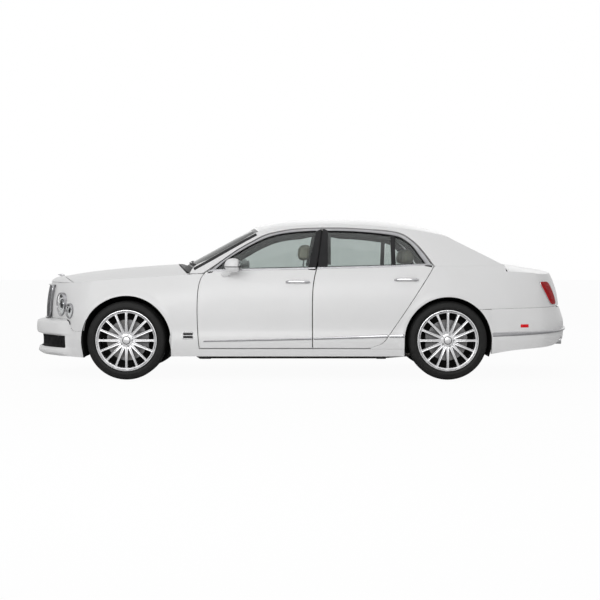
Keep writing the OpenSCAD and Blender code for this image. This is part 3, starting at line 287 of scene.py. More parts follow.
def piece(name, parts, finishes, body, replaces=(), uv=None, crease=40, bevel=0.0):
    """Joins parts into one mesh object at the origin, in metres, that rides on a body."""
    parts = parts if isinstance(parts, list) else [parts]
    size = np.cumsum([0] + [len(p[0]) for p in parts])
    V = np.concatenate([p[0] for p in parts]) * 0.001
    F = np.concatenate([p[1] + o for p, o in zip(parts, size)])
    mat = np.concatenate([p[2] for p in parts])
    mesh = bpy.data.meshes.new(name)
    mesh.from_pydata(V.tolist(), [], F.tolist())
    mesh.polygons.foreach_set("material_index", mat.astype(np.int32))
    for m in (finishes if isinstance(finishes, (list, tuple)) else [finishes]):
        mesh.materials.append(m)
    if uv is not None:
        layer = mesh.uv_layers.new(name="UVMap")
        index = np.empty(len(mesh.loops), np.int32)
        mesh.loops.foreach_get("vertex_index", index)
        layer.data.foreach_set("uv", np.asarray(uv, np.float32)[index].ravel())
    mesh.validate()
    mesh.shade_smooth()
    mesh.set_sharp_from_angle(angle=math.radians(crease))
    obj = bpy.data.objects.new(name, mesh)
    scene.collection.objects.link(obj)
    if bevel:
        b = obj.modifiers.new("rolled_edge", "BEVEL")
        b.width, b.segments, b.limit_method, b.angle_limit = bevel * 0.001, 2, "ANGLE", math.radians(crease)
        b.use_clamp_overlap = True
    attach(obj, body)
    if replaces:
        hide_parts(*([replaces] if isinstance(replaces, str) else replaces))
    return obj


def cut(obj, parts):
    """Takes closed parts out of a piece with boolean modifiers, applied at once."""
    tools = []
    for i, p in enumerate(parts):
        mesh = bpy.data.meshes.new("cutter")
        mesh.from_pydata((p[0] * 0.001).tolist(), [], p[1].tolist())
        mesh.validate()
        tool = bpy.data.objects.new("cutter", mesh)
        scene.collection.objects.link(tool)
        m = obj.modifiers.new("cut%d" % i, "BOOLEAN")
        m.operation, m.solver, m.object = "DIFFERENCE", "EXACT", tool
        tools.append(tool)
    shade = [m for m in obj.modifiers if m.type == "BEVEL"]
    for m in shade:
        m.show_viewport = False
    new = bpy.data.meshes.new_from_object(obj.evaluated_get(bpy.context.evaluated_depsgraph_get()))
    for m in [m for m in obj.modifiers if m.type == "BOOLEAN"]:
        obj.modifiers.remove(m)
    for m in shade:
        m.show_viewport = True
    old, obj.data = obj.data, new
    new.name = obj.name
    bpy.data.meshes.remove(old)
    for tool in tools:
        mesh = tool.data
        bpy.data.objects.remove(tool)
        bpy.data.meshes.remove(mesh)
    return obj


# Finishes
def node_group(name, outputs, inputs):
    """An empty node group with the named sockets, and its input and output nodes."""
    g = bpy.data.node_groups.new(name, "ShaderNodeTree")
    for n, kind, value in inputs:
        s = g.interface.new_socket(n, in_out="INPUT", socket_type=kind)
        if value is not None:
            s.default_value = value
    for n, kind in outputs:
        g.interface.new_socket(n, in_out="OUTPUT", socket_type=kind)
    return g, g.nodes.new("NodeGroupInput"), g.nodes.new("NodeGroupOutput")


def grain_group():
    """Two layers of noise: a broad mask for tone and a fine height for bump."""
    g, i, o = node_group("surface_grain", [("Mask", "NodeSocketFloat"), ("Height", "NodeSocketFloat")],
                         [("Vector", "NodeSocketVector", None), ("Broad", "NodeSocketFloat", 6.0),
                          ("Fine", "NodeSocketFloat", 400.0)])
    for socket, out, detail in (("Broad", "Mask", 4.0), ("Fine", "Height", 2.0)):
        n = g.nodes.new("ShaderNodeTexNoise")
        n.inputs["Detail"].default_value = detail
        g.links.new(i.outputs["Vector"], n.inputs["Vector"])
        g.links.new(i.outputs[socket], n.inputs["Scale"])
        g.links.new(n.outputs["Fac"], o.inputs[out])
    return g


def hide_group():
    """Leather: cells for the pebble, a crease line between them, and noise for the tone."""
    g, i, o = node_group("leather_hide", [("Mask", "NodeSocketFloat"), ("Height", "NodeSocketFloat")],
                         [("Vector", "NodeSocketVector", None), ("Scale", "NodeSocketFloat", 300.0)])
    cell = g.nodes.new("ShaderNodeTexVoronoi")
    cell.feature = "DISTANCE_TO_EDGE"
    tone = g.nodes.new("ShaderNodeTexNoise")
    tone.inputs["Scale"].default_value = 5.0
    g.links.new(i.outputs["Vector"], cell.inputs["Vector"])
    g.links.new(i.outputs["Scale"], cell.inputs["Scale"])
    g.links.new(i.outputs["Vector"], tone.inputs["Vector"])
    g.links.new(cell.outputs["Distance"], o.inputs["Height"])
    g.links.new(tone.outputs["Fac"], o.inputs["Mask"])
    return g


GRAIN, HIDE = grain_group(), hide_group()


def finish(name, colour, other, rough, metallic=0.0, coat=0.0, group=None, scales=(6.0, 400.0), bump=0.0, spread=0.04,
           **more):
    """A finish whose tone drifts from colour to other with the mask, whose roughness drifts by spread,
    and whose surface has the group's fine height as bump."""
    m = bpy.data.materials.new(name)
    m.use_nodes = True
    nt = m.node_tree
    b = nt.nodes["Principled BSDF"]
    b.inputs["Metallic"].default_value = metallic
    b.inputs["Coat Weight"].default_value = coat
    b.inputs["Coat Roughness"].default_value = 0.03
    for key, value in more.items():
        b.inputs[key.replace("_", " ")].default_value = value
    tc = nt.nodes.new("ShaderNodeTexCoord")
    g = nt.nodes.new("ShaderNodeGroup")
    g.node_tree = group or GRAIN
    nt.links.new(tc.outputs["Object"], g.inputs["Vector"])
    if g.node_tree is HIDE:
        g.inputs["Scale"].default_value = scales[1]
    else:
        g.inputs["Broad"].default_value, g.inputs["Fine"].default_value = scales
    ramp = nt.nodes.new("ShaderNodeValToRGB")
    ramp.color_ramp.elements[0].position, ramp.color_ramp.elements[1].position = 0.35, 0.65
    ramp.color_ramp.elements[0].color, ramp.color_ramp.elements[1].color = (*colour, 1), (*other, 1)
    nt.links.new(g.outputs["Mask"], ramp.inputs["Fac"])
    nt.links.new(ramp.outputs["Color"], b.inputs["Base Color"])
    r = nt.nodes.new("ShaderNodeMapRange")
    r.inputs["To Min"].default_value, r.inputs["To Max"].default_value = max(0.0, rough - spread), rough + spread
    nt.links.new(g.outputs["Mask"], r.inputs["Value"])
    nt.links.new(r.outputs["Result"], b.inputs["Roughness"])
    if bump:
        n = nt.nodes.new("ShaderNodeBump")
        n.inputs["Strength"].default_value, n.inputs["Distance"].default_value = 1.0, bump * 0.001
        nt.links.new(g.outputs["Height"], n.inputs["Height"])
        nt.links.new(n.outputs["Normal"], b.inputs["Normal"])
    return m


def pane_finish(name, colour, other, IOR=1.48):
    """Tinted glass: plain transmission with a tone that drifts very slightly."""
    return finish(name, colour, other, 0.0, spread=0.0, Transmission_Weight=1.0, IOR=IOR)


PAINT = finish("white_paint", (0.78, 0.78, 0.78), (0.79, 0.79, 0.792), 0.34, coat=0.1, scales=(2.0, 1500.0),
               bump=0.004, spread=0.02,
               Specular_IOR_Level=0.26)
INNER_PAINT = finish("inner_paint", (0.60, 0.60, 0.60), (0.56, 0.56, 0.56), 0.5, scales=(8.0, 600.0), bump=0.02)
BLACK_GLOSS = finish("black_gloss", (0.008, 0.008, 0.009), (0.013, 0.013, 0.014), 0.30, scales=(10.0, 900.0),
                     bump=0.005, Specular_IOR_Level=0.22)
BLACK_TRIM = finish("black_trim", (0.013, 0.013, 0.014), (0.022, 0.022, 0.023), 0.55, scales=(14.0, 1200.0),
                    bump=0.06, Specular_IOR_Level=0.3)
LINER = finish("arch_liner", (0.007, 0.007, 0.007), (0.013, 0.013, 0.012), 0.9, scales=(9.0, 500.0), bump=0.3,
               Specular_IOR_Level=0.15)
CHROME = finish("bright_trim", (0.56, 0.56, 0.57), (0.49, 0.49, 0.50), 0.13, metallic=1.0, scales=(9.0, 800.0),
                spread=0.03)
DARK_CHROME = finish("dark_chrome", (0.15, 0.15, 0.155), (0.10, 0.10, 0.105), 0.24, metallic=1.0, scales=(9.0, 800.0),
                     spread=0.03)
# Strip chrome: a darker copy of bright_trim whose grey tone is painted shade in the reflection; the brighter beads on
# top carry a painted highlight.
SHADED_CHROME = finish("shaded_strip_chrome", (0.36, 0.36, 0.37), (0.30, 0.30, 0.31), 0.16, metallic=1.0, scales=(9.0, 800.0),
                     spread=0.03)
ALLOY = finish("rim_alloy", (0.76, 0.76, 0.77), (0.70, 0.70, 0.71), 0.28, metallic=0.85, coat=0.3,
               scales=(14.0, 1500.0), bump=0.004)
# Rim barrel: the same alloy darkened, as painted shade inside the wheel behind the spokes.
SHADED_BARREL_ALLOY = finish("rim_barrel_shaded", (0.14, 0.14, 0.145), (0.10, 0.10, 0.105), 0.45, metallic=0.7, scales=(14.0, 900.0),
                    bump=0.01)
STEEL = finish("brake_steel", (0.26, 0.26, 0.27), (0.19, 0.185, 0.18), 0.40, metallic=1.0, scales=(24.0, 700.0),
               bump=0.03)
CAST = finish("cast_metal", (0.20, 0.20, 0.205), (0.13, 0.13, 0.13), 0.62, metallic=0.6, scales=(16.0, 350.0),
              bump=0.25)
UNDER = finish("underseal", (0.020, 0.020, 0.020), (0.036, 0.035, 0.033), 0.8, scales=(7.0, 300.0), bump=0.4)
PIPE = finish("exhaust_steel", (0.42, 0.40, 0.37), (0.30, 0.27, 0.24), 0.38, metallic=1.0, scales=(10.0, 500.0),
              bump=0.05)
GLASS = pane_finish("tinted_glass", (0.60, 0.645, 0.63), (0.58, 0.625, 0.61))
# Windscreen and rear window glass tinted near black: painted shade, so the panes read dark.
SHADED_SCREEN = pane_finish("shaded_screen_glass", (0.10, 0.115, 0.11), (0.09, 0.105, 0.10), IOR=1.05)
CLEAR = pane_finish("lamp_cover", (0.90, 0.91, 0.91), (0.88, 0.89, 0.89), IOR=1.04)
RED = finish("red_lens", (0.86, 0.022, 0.030), (0.66, 0.012, 0.018), 0.25, scales=(30.0, 260.0), bump=0.4,
             Specular_IOR_Level=0.08)
RED_DEEP = finish("red_lens_deep", (0.40, 0.008, 0.011), (0.30, 0.005, 0.008), 0.25, scales=(30.0, 260.0), bump=0.3,
                  Specular_IOR_Level=0.08)
MIRROR = finish("reflector", (0.22, 0.22, 0.225), (0.10, 0.10, 0.105), 0.16, metallic=1.0, scales=(40.0, 300.0),
                spread=0.02)
CREAM = finish("cream_leather", (0.68, 0.63, 0.50), (0.62, 0.57, 0.45), 0.48, group=HIDE, scales=(5.0, 330.0),
               bump=0.35)
LINING = finish("head_lining", (0.30, 0.28, 0.24), (0.26, 0.24, 0.205), 0.9, scales=(12.0, 1400.0), bump=0.2)
DARK_HIDE = finish("dark_leather", (0.045, 0.036, 0.028), (0.032, 0.026, 0.020), 0.5, group=HIDE, scales=(5.0, 330.0),
                   bump=0.3)
CARPET = finish("carpet", (0.070, 0.058, 0.043), (0.045, 0.037, 0.028), 0.95, scales=(30.0, 2200.0), bump=1.2)
FRAME_TRIM = finish("frame_trim", (0.030, 0.033, 0.031), (0.040, 0.043, 0.041), 0.8, scales=(12.0, 1200.0), bump=0.1,
                    Specular_IOR_Level=0.2)
PLATE = finish("plate_white", (0.72, 0.72, 0.70), (0.66, 0.66, 0.645), 0.35, coat=0.3, scales=(16.0, 700.0), bump=0.01)


def veneer_finish():
    """Wood veneer: rings of a stretched wave, warped by noise, under lacquer."""
    m = finish("walnut_veneer", (0.14, 0.050, 0.018), (0.060, 0.020, 0.008), 0.16, coat=0.8, scales=(3.0, 90.0),
               bump=0.01)
    nt = m.node_tree
    wave = nt.nodes.new("ShaderNodeTexWave")
    wave.inputs["Scale"].default_value, wave.inputs["Distortion"].default_value = 9.0, 9.0
    wave.inputs["Detail"].default_value = 3.0
    tc = [n for n in nt.nodes if n.type == "TEX_COORD"][0]
    nt.links.new(tc.outputs["Object"], wave.inputs["Vector"])
    ramp = [n for n in nt.nodes if n.type == "VALTORGB"][0]
    nt.links.new(wave.outputs["Fac"], ramp.inputs["Fac"])
    return m


def tyre_finish():
    """Rubber whose grid-based coordinates give tread blocks on the running face."""
    m = finish("tyre_rubber", (0.008, 0.008, 0.008), (0.013, 0.013, 0.0125), 0.6, scales=(20.0, 900.0), bump=0.1,
               Specular_IOR_Level=0.22)
    nt = m.node_tree
    uv = nt.nodes.new("ShaderNodeUVMap")
    uv.uv_map = "UVMap"
    part = nt.nodes.new("ShaderNodeSeparateXYZ")
    nt.links.new(uv.outputs["UV"], part.inputs[0])
    wall = nt.nodes.new("ShaderNodeMath")
    wall.operation, wall.inputs[1].default_value = "MULTIPLY", 2 * math.pi * 90
    nt.links.new(part.outputs["X"], wall.inputs[0])
    rib = nt.nodes.new("ShaderNodeMath")
    rib.operation = "SINE"
    nt.links.new(wall.outputs[0], rib.inputs[0])
    sharp = nt.nodes.new("ShaderNodeMapRange")
    sharp.inputs["From Min"].default_value, sharp.inputs["From Max"].default_value = -0.9, -0.6
    nt.links.new(rib.outputs[0], sharp.inputs["Value"])
    run = nt.nodes.new("ShaderNodeMath")
    run.operation, run.inputs[1].default_value, run.inputs[2].default_value = "COMPARE", 0.5, 0.17
    nt.links.new(part.outputs["Y"], run.inputs[0])
    gate = nt.nodes.new("ShaderNodeMath")
    gate.operation = "MULTIPLY"
    nt.links.new(sharp.outputs["Result"], gate.inputs[0])
    nt.links.new(run.outputs[0], gate.inputs[1])
    total = nt.nodes.new("ShaderNodeMath")
    total.operation, total.inputs[1].default_value = "MULTIPLY_ADD", 0.05
    group = [n for n in nt.nodes if n.type == "GROUP"][0]
    bump = [n for n in nt.nodes if n.type == "BUMP"][0]
    nt.links.new(group.outputs["Height"], total.inputs[0])
    nt.links.new(gate.outputs[0], total.inputs[2])
    nt.links.new(total.outputs[0], bump.inputs["Height"])
    bump.inputs["Distance"].default_value = 0.003
    return m


WOOD, RUBBER = veneer_finish(), tyre_finish()
for node, material in {
        "floor_pan": UNDER, "boot_floor": CARPET, "door_hinges": CAST, "wheel_houses": LINER, "engine_block": CAST,
        "front_subframe": UNDER, "rear_subframe": UNDER, "rear_knuckles": CAST, "front_knuckle_left": CAST,
        "front_knuckle_right": CAST, "exhaust": PIPE, "hub_fl": STEEL, "hub_fr": STEEL, "hub_rl": STEEL,
        "hub_rr": STEEL, "number_plate": PLATE, "steering_wheel": DARK_HIDE}.items():
    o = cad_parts[node]
    o.data.materials.clear()
    o.data.materials.append(material)

# Top of the car: centre lines and arched panels
BONNET_C = [[fx(-938), bz(-150)], [fx(-915), bz(-120)], [fx(-850), bz(-98)], [fx(-757), bz(-81)], [fx(-505), bz(-39)],
            [fx(-128), bz(3)], [fx(437), bz(44)], [fx(540), bz(50)]]
ROOF_C = [[fx(1220), rz(-84)], [fx(1255), rz(-70)], [fx(1320), rz(-54)], [fx(1450), rz(-30)], [fx(1600), rz(-14)],
          [B_X + 100, rz(-2)], [B_X + 330, rz(0)], [B_X + 600, rz(-8)], [rx(-470), rz(-32)], [rx(-250), rz(-64)],
          [rx(-60), rz(-115)], [rx(65), rz(-169)]]
DECK_C = [[rx(605), bz(52)], [rx(695), bz(44)], [rx(884), bz(13)], [rx(1072), bz(-19)], [rx(1130), bz(-36)]]
S_BF, X_BF, X_BR, S_BR = S_N[3] + 130, fx(-738), fx(440), fx(599)
S_LID, LID_Z, X_DF = S_T[3] + 10, bz(-374), rx(600)


def across(c, e, u, k=2.2):
    """Arch from a centre point to an edge point: height falls with the k-th power of the way out."""
    return xyz(mix(c[..., 0], e[..., 0], u * u), e[..., 1] * u, mix(c[..., 2], e[..., 2], u**k))


def whole(half, u, v):
    """A half panel seen as a whole: u from 0 at the left edge to 1 at the right edge."""
    c = 2 * u - 1
    return half(np.abs(c), v) * np.stack([np.ones_like(c), np.where(c < 0, -1, 1), np.ones_like(c)], -1)


def drawn_in(P, g):
    """Moves a panel's side edges in towards the centre line by g."""
    y = np.abs(P[..., 1])
    return xyz(P[..., 0], np.sign(P[..., 1]) * np.maximum(0, y - g * np.minimum(1, y / 400)), P[..., 2])


def bonnet_half(u, v):
    """Right half of the bonnet: u from the middle line to the edge, v from the nose to the scuttle."""
    s = mix(S_BF, S_BR, v)
    x = mix(X_BF, X_BR, v)
    return across(xyz(x, 0, curve(BONNET_C, x)), band(s, zsh(s)), u, 2.5)


def roof_half(u, v):
    """Right half of the roof: u from the middle line to the edge, v from the windscreen to the rear window."""
    e = through(RAIL_HI[5:14], v)
    x = mix(fx(1232), rx(60), v)
    return across(xyz(x, 0, curve(ROOF_C, x)), flank(e[..., 0], e[..., 1]), u, 2.3)


def screen_half(u, v):
    """Right half of the windscreen: u from the middle line to the edge, v from the scuttle to the roof."""
    e = through(RAIL_HI[1:6], v)
    c = mix(np.array([fx(540), 0, bz(44)]), np.array([fx(1225), 0, rz(-84)]), v[..., None])
    return across(c, flank(e[..., 0], e[..., 1]), u, 2)


def rear_half(u, v):
    """Right half of the rear window: u from the middle line to the edge, v along its length."""
    e = through(RAIL_HI[13:17], v)
    c = mix(np.array([rx(68), 0, rz(-172)]), np.array([rx(590), 0, bz(56)]), v[..., None])
    return across(c, flank(e[..., 0], e[..., 1]), u, 2)


def cowl_half(u, v):
    """Right half of the scuttle: from the bonnet's rear edge to the windscreen's foot, 22 mm lower between them."""
    a, b = bonnet_half(u, np.ones_like(u)), screen_half(u, np.zeros_like(u))
    return mix(a, b, mix(0.10, 1.0, v)[..., None]) - xyz(0, 0, 22 * np.sin(np.pi * v))


def lid_half(u, v):
    """Boot lid: a patch between four edge curves for the deck, then the tail down to the bumper."""
    q = np.clip(v / 0.6, 0, 1)
    side = lambda t: band(mix(rx(612), S_LID, t), zsh(mix(rx(612), S_LID, t)))
    back = lambda t: band(mix(S_TAIL, S_LID, t), zsh(mix(S_TAIL, S_LID, t)))
    z0, o = np.zeros_like(u), np.ones_like(u)
    front = lambda t: across(xyz(X_DF, 0, bz(52)) * np.ones(t.shape + (1,)), side(z0), t, 2.5)
    end = back(z0)
    x = mix(X_DF, end[..., 0], q)
    mid = xyz(x, 0, np.where(q >= 1, end[..., 2], curve(DECK_C, x)))
    U, Q = u[..., None], q[..., None]
    deck = ((1 - Q) * front(u) + Q * back(u) + (1 - U) * mid + U * side(q) - (1 - U) * (1 - Q) * front(z0)
            - U * (1 - Q) * front(o) - (1 - U) * Q * back(z0) - U * Q * back(o))
    s = mix(S_TAIL, S_LID, u)
    tail = band(s, mix(zsh(s), LID_Z, np.clip((v - 0.6) / 0.4, 0, 1)))
    return np.where((v <= 0.6)[..., None], deck, tail)


# Side view lines: shut lines, window openings, pillars
FRONT_LINE = [[300, 711], [500, 695], [700, 692], [880, 699], [990, 724], [1060, 775]]
B_LINE = [[300, -2], [700, -4], [880, 1], [1000, 17], [1086, 37], [1473, 95]]
REAR_LINE = [[313, -760], [340, -680], [363, -634], [430, -580], [600, -462], [1065, -158], [1115, -132]]


def x_front(z): return fx(curve(FRONT_LINE, z))
def x_b(z): return B_X + curve(B_LINE, z)
def x_rear(z): return rx(curve(REAR_LINE, z))
def fo(rows): return [[fx(a), rz(b)] for a, b in rows]
def bo(rows): return [[B_X + a, rz(b)] for a, b in rows]
def ro(rows): return [[rx(a), rz(b)] for a, b in rows]


FRAME_FO = np.array([[fx(784), bz(-44)]] + fo([[950, -414], [1103, -308], [1228, -238], [1352, -174], [1479, -142],
                                               [1605, -120]])
                    + bo([[-87, -110], [20, -106], [86, -106], [76, -206], [55, -356]]) + [[B_X + 27, bz(-14)]])
FRAME_FI = np.array([[fx(835), bz(-40)]] + fo([[968, -421], [1117, -323], [1240, -254], [1362, -198], [1487, -162],
                                               [1612, -144]])
                    + bo([[-92, -134], [-12, -130], [33, -129], [18, -216], [-11, -361]]) + [[B_X - 45, bz(-9)]])
FRAME_RO = np.array([[B_X + 46, bz(-4)]] + bo([[70, -356], [90, -206], [104, -106], [317, -105]])
                    + ro([[-771, -119], [-604, -131], [-494, -146], [-431, -168], [-374, -201], [-321, -246],
                          [-214, -372]])
                    + [[rx(-160), bz(46)], [rx(-150), bz(14)]])
FRAME_RI = np.array([[B_X + 147, bz(1)]] + bo([[149, -356], [151, -206], [153, -129], [317, -131]])
                    + ro([[-774, -144], [-609, -162], [-509, -178], [-444, -198], [-394, -231], [-349, -268],
                          [-271, -376]])
                    + [[rx(-218), bz(47)], [rx(-226), bz(28)]])
RAIL_LO = np.array([[fx(740), bz(-42)], [fx(768), bz(-24)]]
                   + fo([[940, -406], [1095, -298], [1221, -226], [1347, -162], [1476, -129], [1603, -107]])
                   + bo([[95, -92], [317, -92]]) + ro([[-771, -106], [-539, -126], [-422, -156], [-309, -236],
                                                       [-199, -366]])
                   + [[rx(-142), bz(52)], [rx(-122), bz(26)]])
RAIL_HI = np.array([[fx(612), bz(-46)], [fx(640), bz(4)]]
                   + fo([[822, -396], [968, -311], [1112, -228], [1289, -130], [1432, -98], [1592, -80]])
                   + bo([[85, -64], [317, -63]]) + ro([[-754, -73], [-484, -96], [-254, -124], [3, -179], [206, -283]])
                   + [[rx(416), bz(113)], [rx(575), bz(30)]])


def rail_grid(n, m):
    """Pillars and cant rail: straight rungs between the door edge and the roof edge, laid on the cabin side."""
    t, v = grid(n, m)
    p = mix(through(RAIL_LO, t), through(RAIL_HI, t), v[..., None])
    return flank(p[..., 0], p[..., 1])


def door_front(u, v):
    """Front door skin: u between its shut lines, v from the sill to the shoulder, laid on the flank."""
    z = mix(DOOR_Z, zsh(mix(fx(770), B_X + 36, u)), v)
    a = x_front(z) + 5
    x = mix(a, x_b(z) - 4.5, u)
    return flank(x, z) - xyz(0, np.maximum(0, 5 - (x - a)), 0)


def door_rear(u, v):
    """Rear door skin: u between its shut lines, v from the sill to the shoulder, laid on the flank."""
    z = mix(DOOR_Z, zsh(mix(B_X + 36, rx(-140), u)), v)
    a = x_b(z) + 4.5
    x = mix(a, x_rear(z) - 4, u)
    return flank(x, z) - xyz(0, np.maximum(0, 5 - (x - a)), 0)


def ring_grid(outer, inner, corners, n, m, a=0.0, b=1.0, t0=0.0, t1=1.0):
    """Window frame: rungs between the inner and outer outlines, from share a to share b of the way out."""
    t, v = grid(n, m, (t0, t1), (a, b))
    p = mix(through(inner, t, corners), through(outer, t, corners), v[..., None])
    return flank(p[..., 0], p[..., 1])


def lining_grid(outer, inner, corners, n, w):
    """Inner trim of a window frame: square to the inner outline, from w inside it to 14 mm under the frame."""
    t, v = grid(n, 5, (0.03, 0.97), (-w, 14))
    i, o = through(inner, t, corners), through(outer, t, corners)
    p = i + unit(o - i) * v[..., None]
    return flank(p[..., 0], p[..., 1])


def arc(xw, r, a): return np.column_stack([xw + r * np.cos(np.radians(a)), HUB_Z + r * np.sin(np.radians(a))])


def columns(low, high, n):
    """Rungs between a lower and an upper edge line given in side view, laid on the flank."""
    v = np.linspace(0, 1, n + 1)[:, None, None]
    p = mix(low[None], high[None], v)
    return flank(p[..., 0], p[..., 1])


SEAM_F = np.array([[S_NOSE, bz(-503.4)], [S_N[3], bz(-504.5)], [S_N[4] - 26, bz(-511)], [S_N[4] + 4, bz(-524)],
                   [S_N[4] + 18, bz(-560)],
                   [S_N[4] + 30, WING_Z + 190], [S_N[4] + 56, WING_Z + 178], [fx(-400), WING_Z + 177]])


def seam_front(s):
    """Height of the line between front bumper and wing: level, a rounded step down, level again."""
    p = through(SEAM_F, np.linspace(0, 1, 400))
    return np.interp(s, p[:, 0], p[:, 1])


def wing_grid(n=28):
    """Front wing: from the nose over the arch to the front door, its top edge on the shoulder."""
    s_w = S_N[2] + 70
    a_w = 180 - math.degrees(math.asin((WING_Z + 178 - HUB_Z) / ARCH_F))
    s1 = np.linspace(s_w + 1, fx(-526), 90)
    low1 = np.column_stack([s1, s1])
    low1[:, 0] = np.where(s1 > S_N[4], mix(s1, np.minimum(s1 + 85, fx(-ARCH_F)), (s1 - S_N[4]) / (fx(-526) - S_N[4])),
                          s1)
    low1[:, 1] = seam_front(low1[:, 0]) + 0.6
    a = np.linspace(a_w, 0, 61)
    x2 = fx(np.linspace(-515, 470, 61))
    low3 = np.column_stack([fx(np.linspace(ARCH_F + 1, 709, 20)), np.full(20, WING_Z + 0.5)])
    x3 = np.linspace(fx(478), fx(737), 20)
    low = np.vstack([low1, arc(X_FA, ARCH_F, a), low3])
    top = np.concatenate([s1, x2, x3])
    high = np.column_stack([top, np.minimum(zsh(top), np.where(top > fx(600), bz(-51), 9999))])
    v = np.linspace(0, 1, n + 1)[:, None, None]
    p = mix(low[None], high[None], v)
    k = ease((np.arange(len(low)) - len(low) + 20) / 19.0)[None]
    last = mix(low[-1], high[-1], v)[..., 0]
    p[..., 0] += k * (x_front(p[..., 1]) - 2 - last)
    return flank(p[..., 0], p[..., 1])


TOP_R = [[rx(300), bz(-394)], [rx(600), bz(-386)], [S_T[2], bz(-378)], [S_LID, bz(-374)], [S_TAIL, bz(-374)]]


def quarter_grid(n=26):
    """Rear quarter: from the door's rear edge over the arch to the boot lid."""
    zq = curve(TOP_R, rx(306)) + 0.5
    a_q = math.degrees(math.asin((zq - HUB_Z) / ARCH_R))
    f = np.linspace(0, 1, 14)
    low1 = np.column_stack([mix(rx(-748), rx(-ARCH_R), f), np.full(14, SILL + 74.5)])
    z1 = mix(SILL + 84, SILL + 202, f**1.1)
    a2, f2 = np.linspace(180, 135, 20)[1:], np.linspace(0, 1, 20)[1:]
    z2 = mix(SILL + 202, bz(12), f2)
    x3 = rx(np.linspace(-124, 574, 50))
    a3 = np.linspace(135, a_q, 51)[1:]
    b4, t4 = np.linspace(rx(330), S_LID + 2, 50), np.linspace(rx(600), S_LID + 2, 50)
    low = np.vstack([low1, arc(X_RA, ARCH_R, a2), arc(X_RA, ARCH_R, a3), np.column_stack([b4, curve(TOP_R, b4) + 0.5])])
    high = np.vstack([np.column_stack([x_rear(z1) + 3, z1]), np.column_stack([x_rear(z2) + 3, z2]),
                      np.column_stack([x3, mix(bz(25.4), bz(29.4), (x3 - rx(-122)) / 697)]),
                      np.column_stack([t4, zsh(t4)])])
    return columns(low, high, n)


def nose_grid(nu, nv):
    """Nose: the upright face up to the shoulder, then rolled back to the bonnet's front edge and turned under it."""
    u, v = grid(nu, nv, (0, 1), (0, 1.64))

    def half(a, b):
        """Right half: a from the middle line outwards, b up the face and back over the top."""
        s_w = S_N[2] + 70
        s = mix(S_NOSE, s_w, a)
        face = band(s, mix(bz(-502), zsh(s), np.clip(b, 0, 1)))
        q = np.clip((b - 1) / 0.6, 0, 1)
        s2 = mix(S_NOSE, S_BF * 0.96 + S_NOSE * 0.04, a)
        s2 = np.where(b > 1, mix(s, s2, ease(q * 2)), s)
        e, r = band(s2, zsh(s2)), bonnet_half(np.minimum(a * 0.96, 1), np.zeros_like(a))
        roll = xyz(mix(e[..., 0], r[..., 0] - 4, 1 - np.cos(np.pi / 2 * q)), mix(e[..., 1], r[..., 1], q),
                   mix(e[..., 2], r[..., 2], np.sin(np.pi / 2 * q)))
        tuck = np.clip((b - 1.6) / 0.04, 0, 1)
        roll = roll + xyz(16 * tuck, 0, -12 * tuck)
        return np.where((b <= 1)[..., None], face, roll)
    return whole(half, u, v)


# Bumpers
PUSH_F = [[S_NOSE, 70], [S_N[2], 138], [S_N[3], 106], [S_N[4] - 80, 66], [S_N[4] - 16, 24], [S_N[4] + 30, 7],
          [S_N[5], 5], [fx(-ARCH_F - 30), 3]]
PROF_F = [[SILL - 14, 0.6], [SILL + 16, 0.95], [SILL + 62, 0.85], [SILL + 76, 0.6], [SILL + 190, 0.62], [SILL + 210, 1],
          [SILL + 316, 1], [SILL + 336, 0.82], [SILL + 346, 0.3], [SILL + 350, 0.04]]
PUSH_R = [[rx(ARCH_R), 2], [rx(650), 22], [S_T[2], 46], [S_T[4], 55], [S_TAIL, 57]]
PROF_R = [[SILL + 20, 0.35], [SILL + 110, 0.6], [SILL + 200, 0.9], [SILL + 258, 1], [SILL + 340, 0.85],
          [SILL + 430, 0.3], [SILL + 480, 0.03]]
BOT_R = [[rx(ARCH_R), SILL + 24], [rx(650), SILL + 60], [S_T[2], SILL + 92], [S_T[2] + 80, SILL + 106],
         [S_T[3] + 60, SILL + 160],
         [S_T[4] - 20, SILL + 162], [S_T[4] + 90, SILL + 130], [S_TAIL, SILL + 128]]


def bumper_front(s, z): return band(s, z, curve(PUSH_F, s) * curve(PROF_F, z))
def bumper_rear(s, z): return band(s, z, curve(PUSH_R, s) * curve(PROF_R, z))


def front_part(s1, z0, z1, nu, nv, s0=None):
    """Part of the front bumper between two heights, over the whole width or from station s0 on one side."""
    u, v = grid(nu, nv)

    def half(a, b):
        """Right half: a along the bumper, b from the lower to the upper edge."""
        s = mix(S_NOSE if s0 is None else s0, s1, a)
        top = seam_front(s) - 1.2 if z1 is None else z1
        return bumper_front(s, mix(z0, top, b))
    return whole(half, u, v) if s0 is None else half(u, v)


LAMPS = [(np.array([fx(-701), 560, bz(-358)]), np.array([-math.cos(math.radians(30)), math.sin(math.radians(30)), 0]),
          116.0),
         (np.array([fx(-585), 740, bz(-418)]), np.array([-math.cos(math.radians(38)), math.sin(math.radians(38)), 0]),
          74.0)]


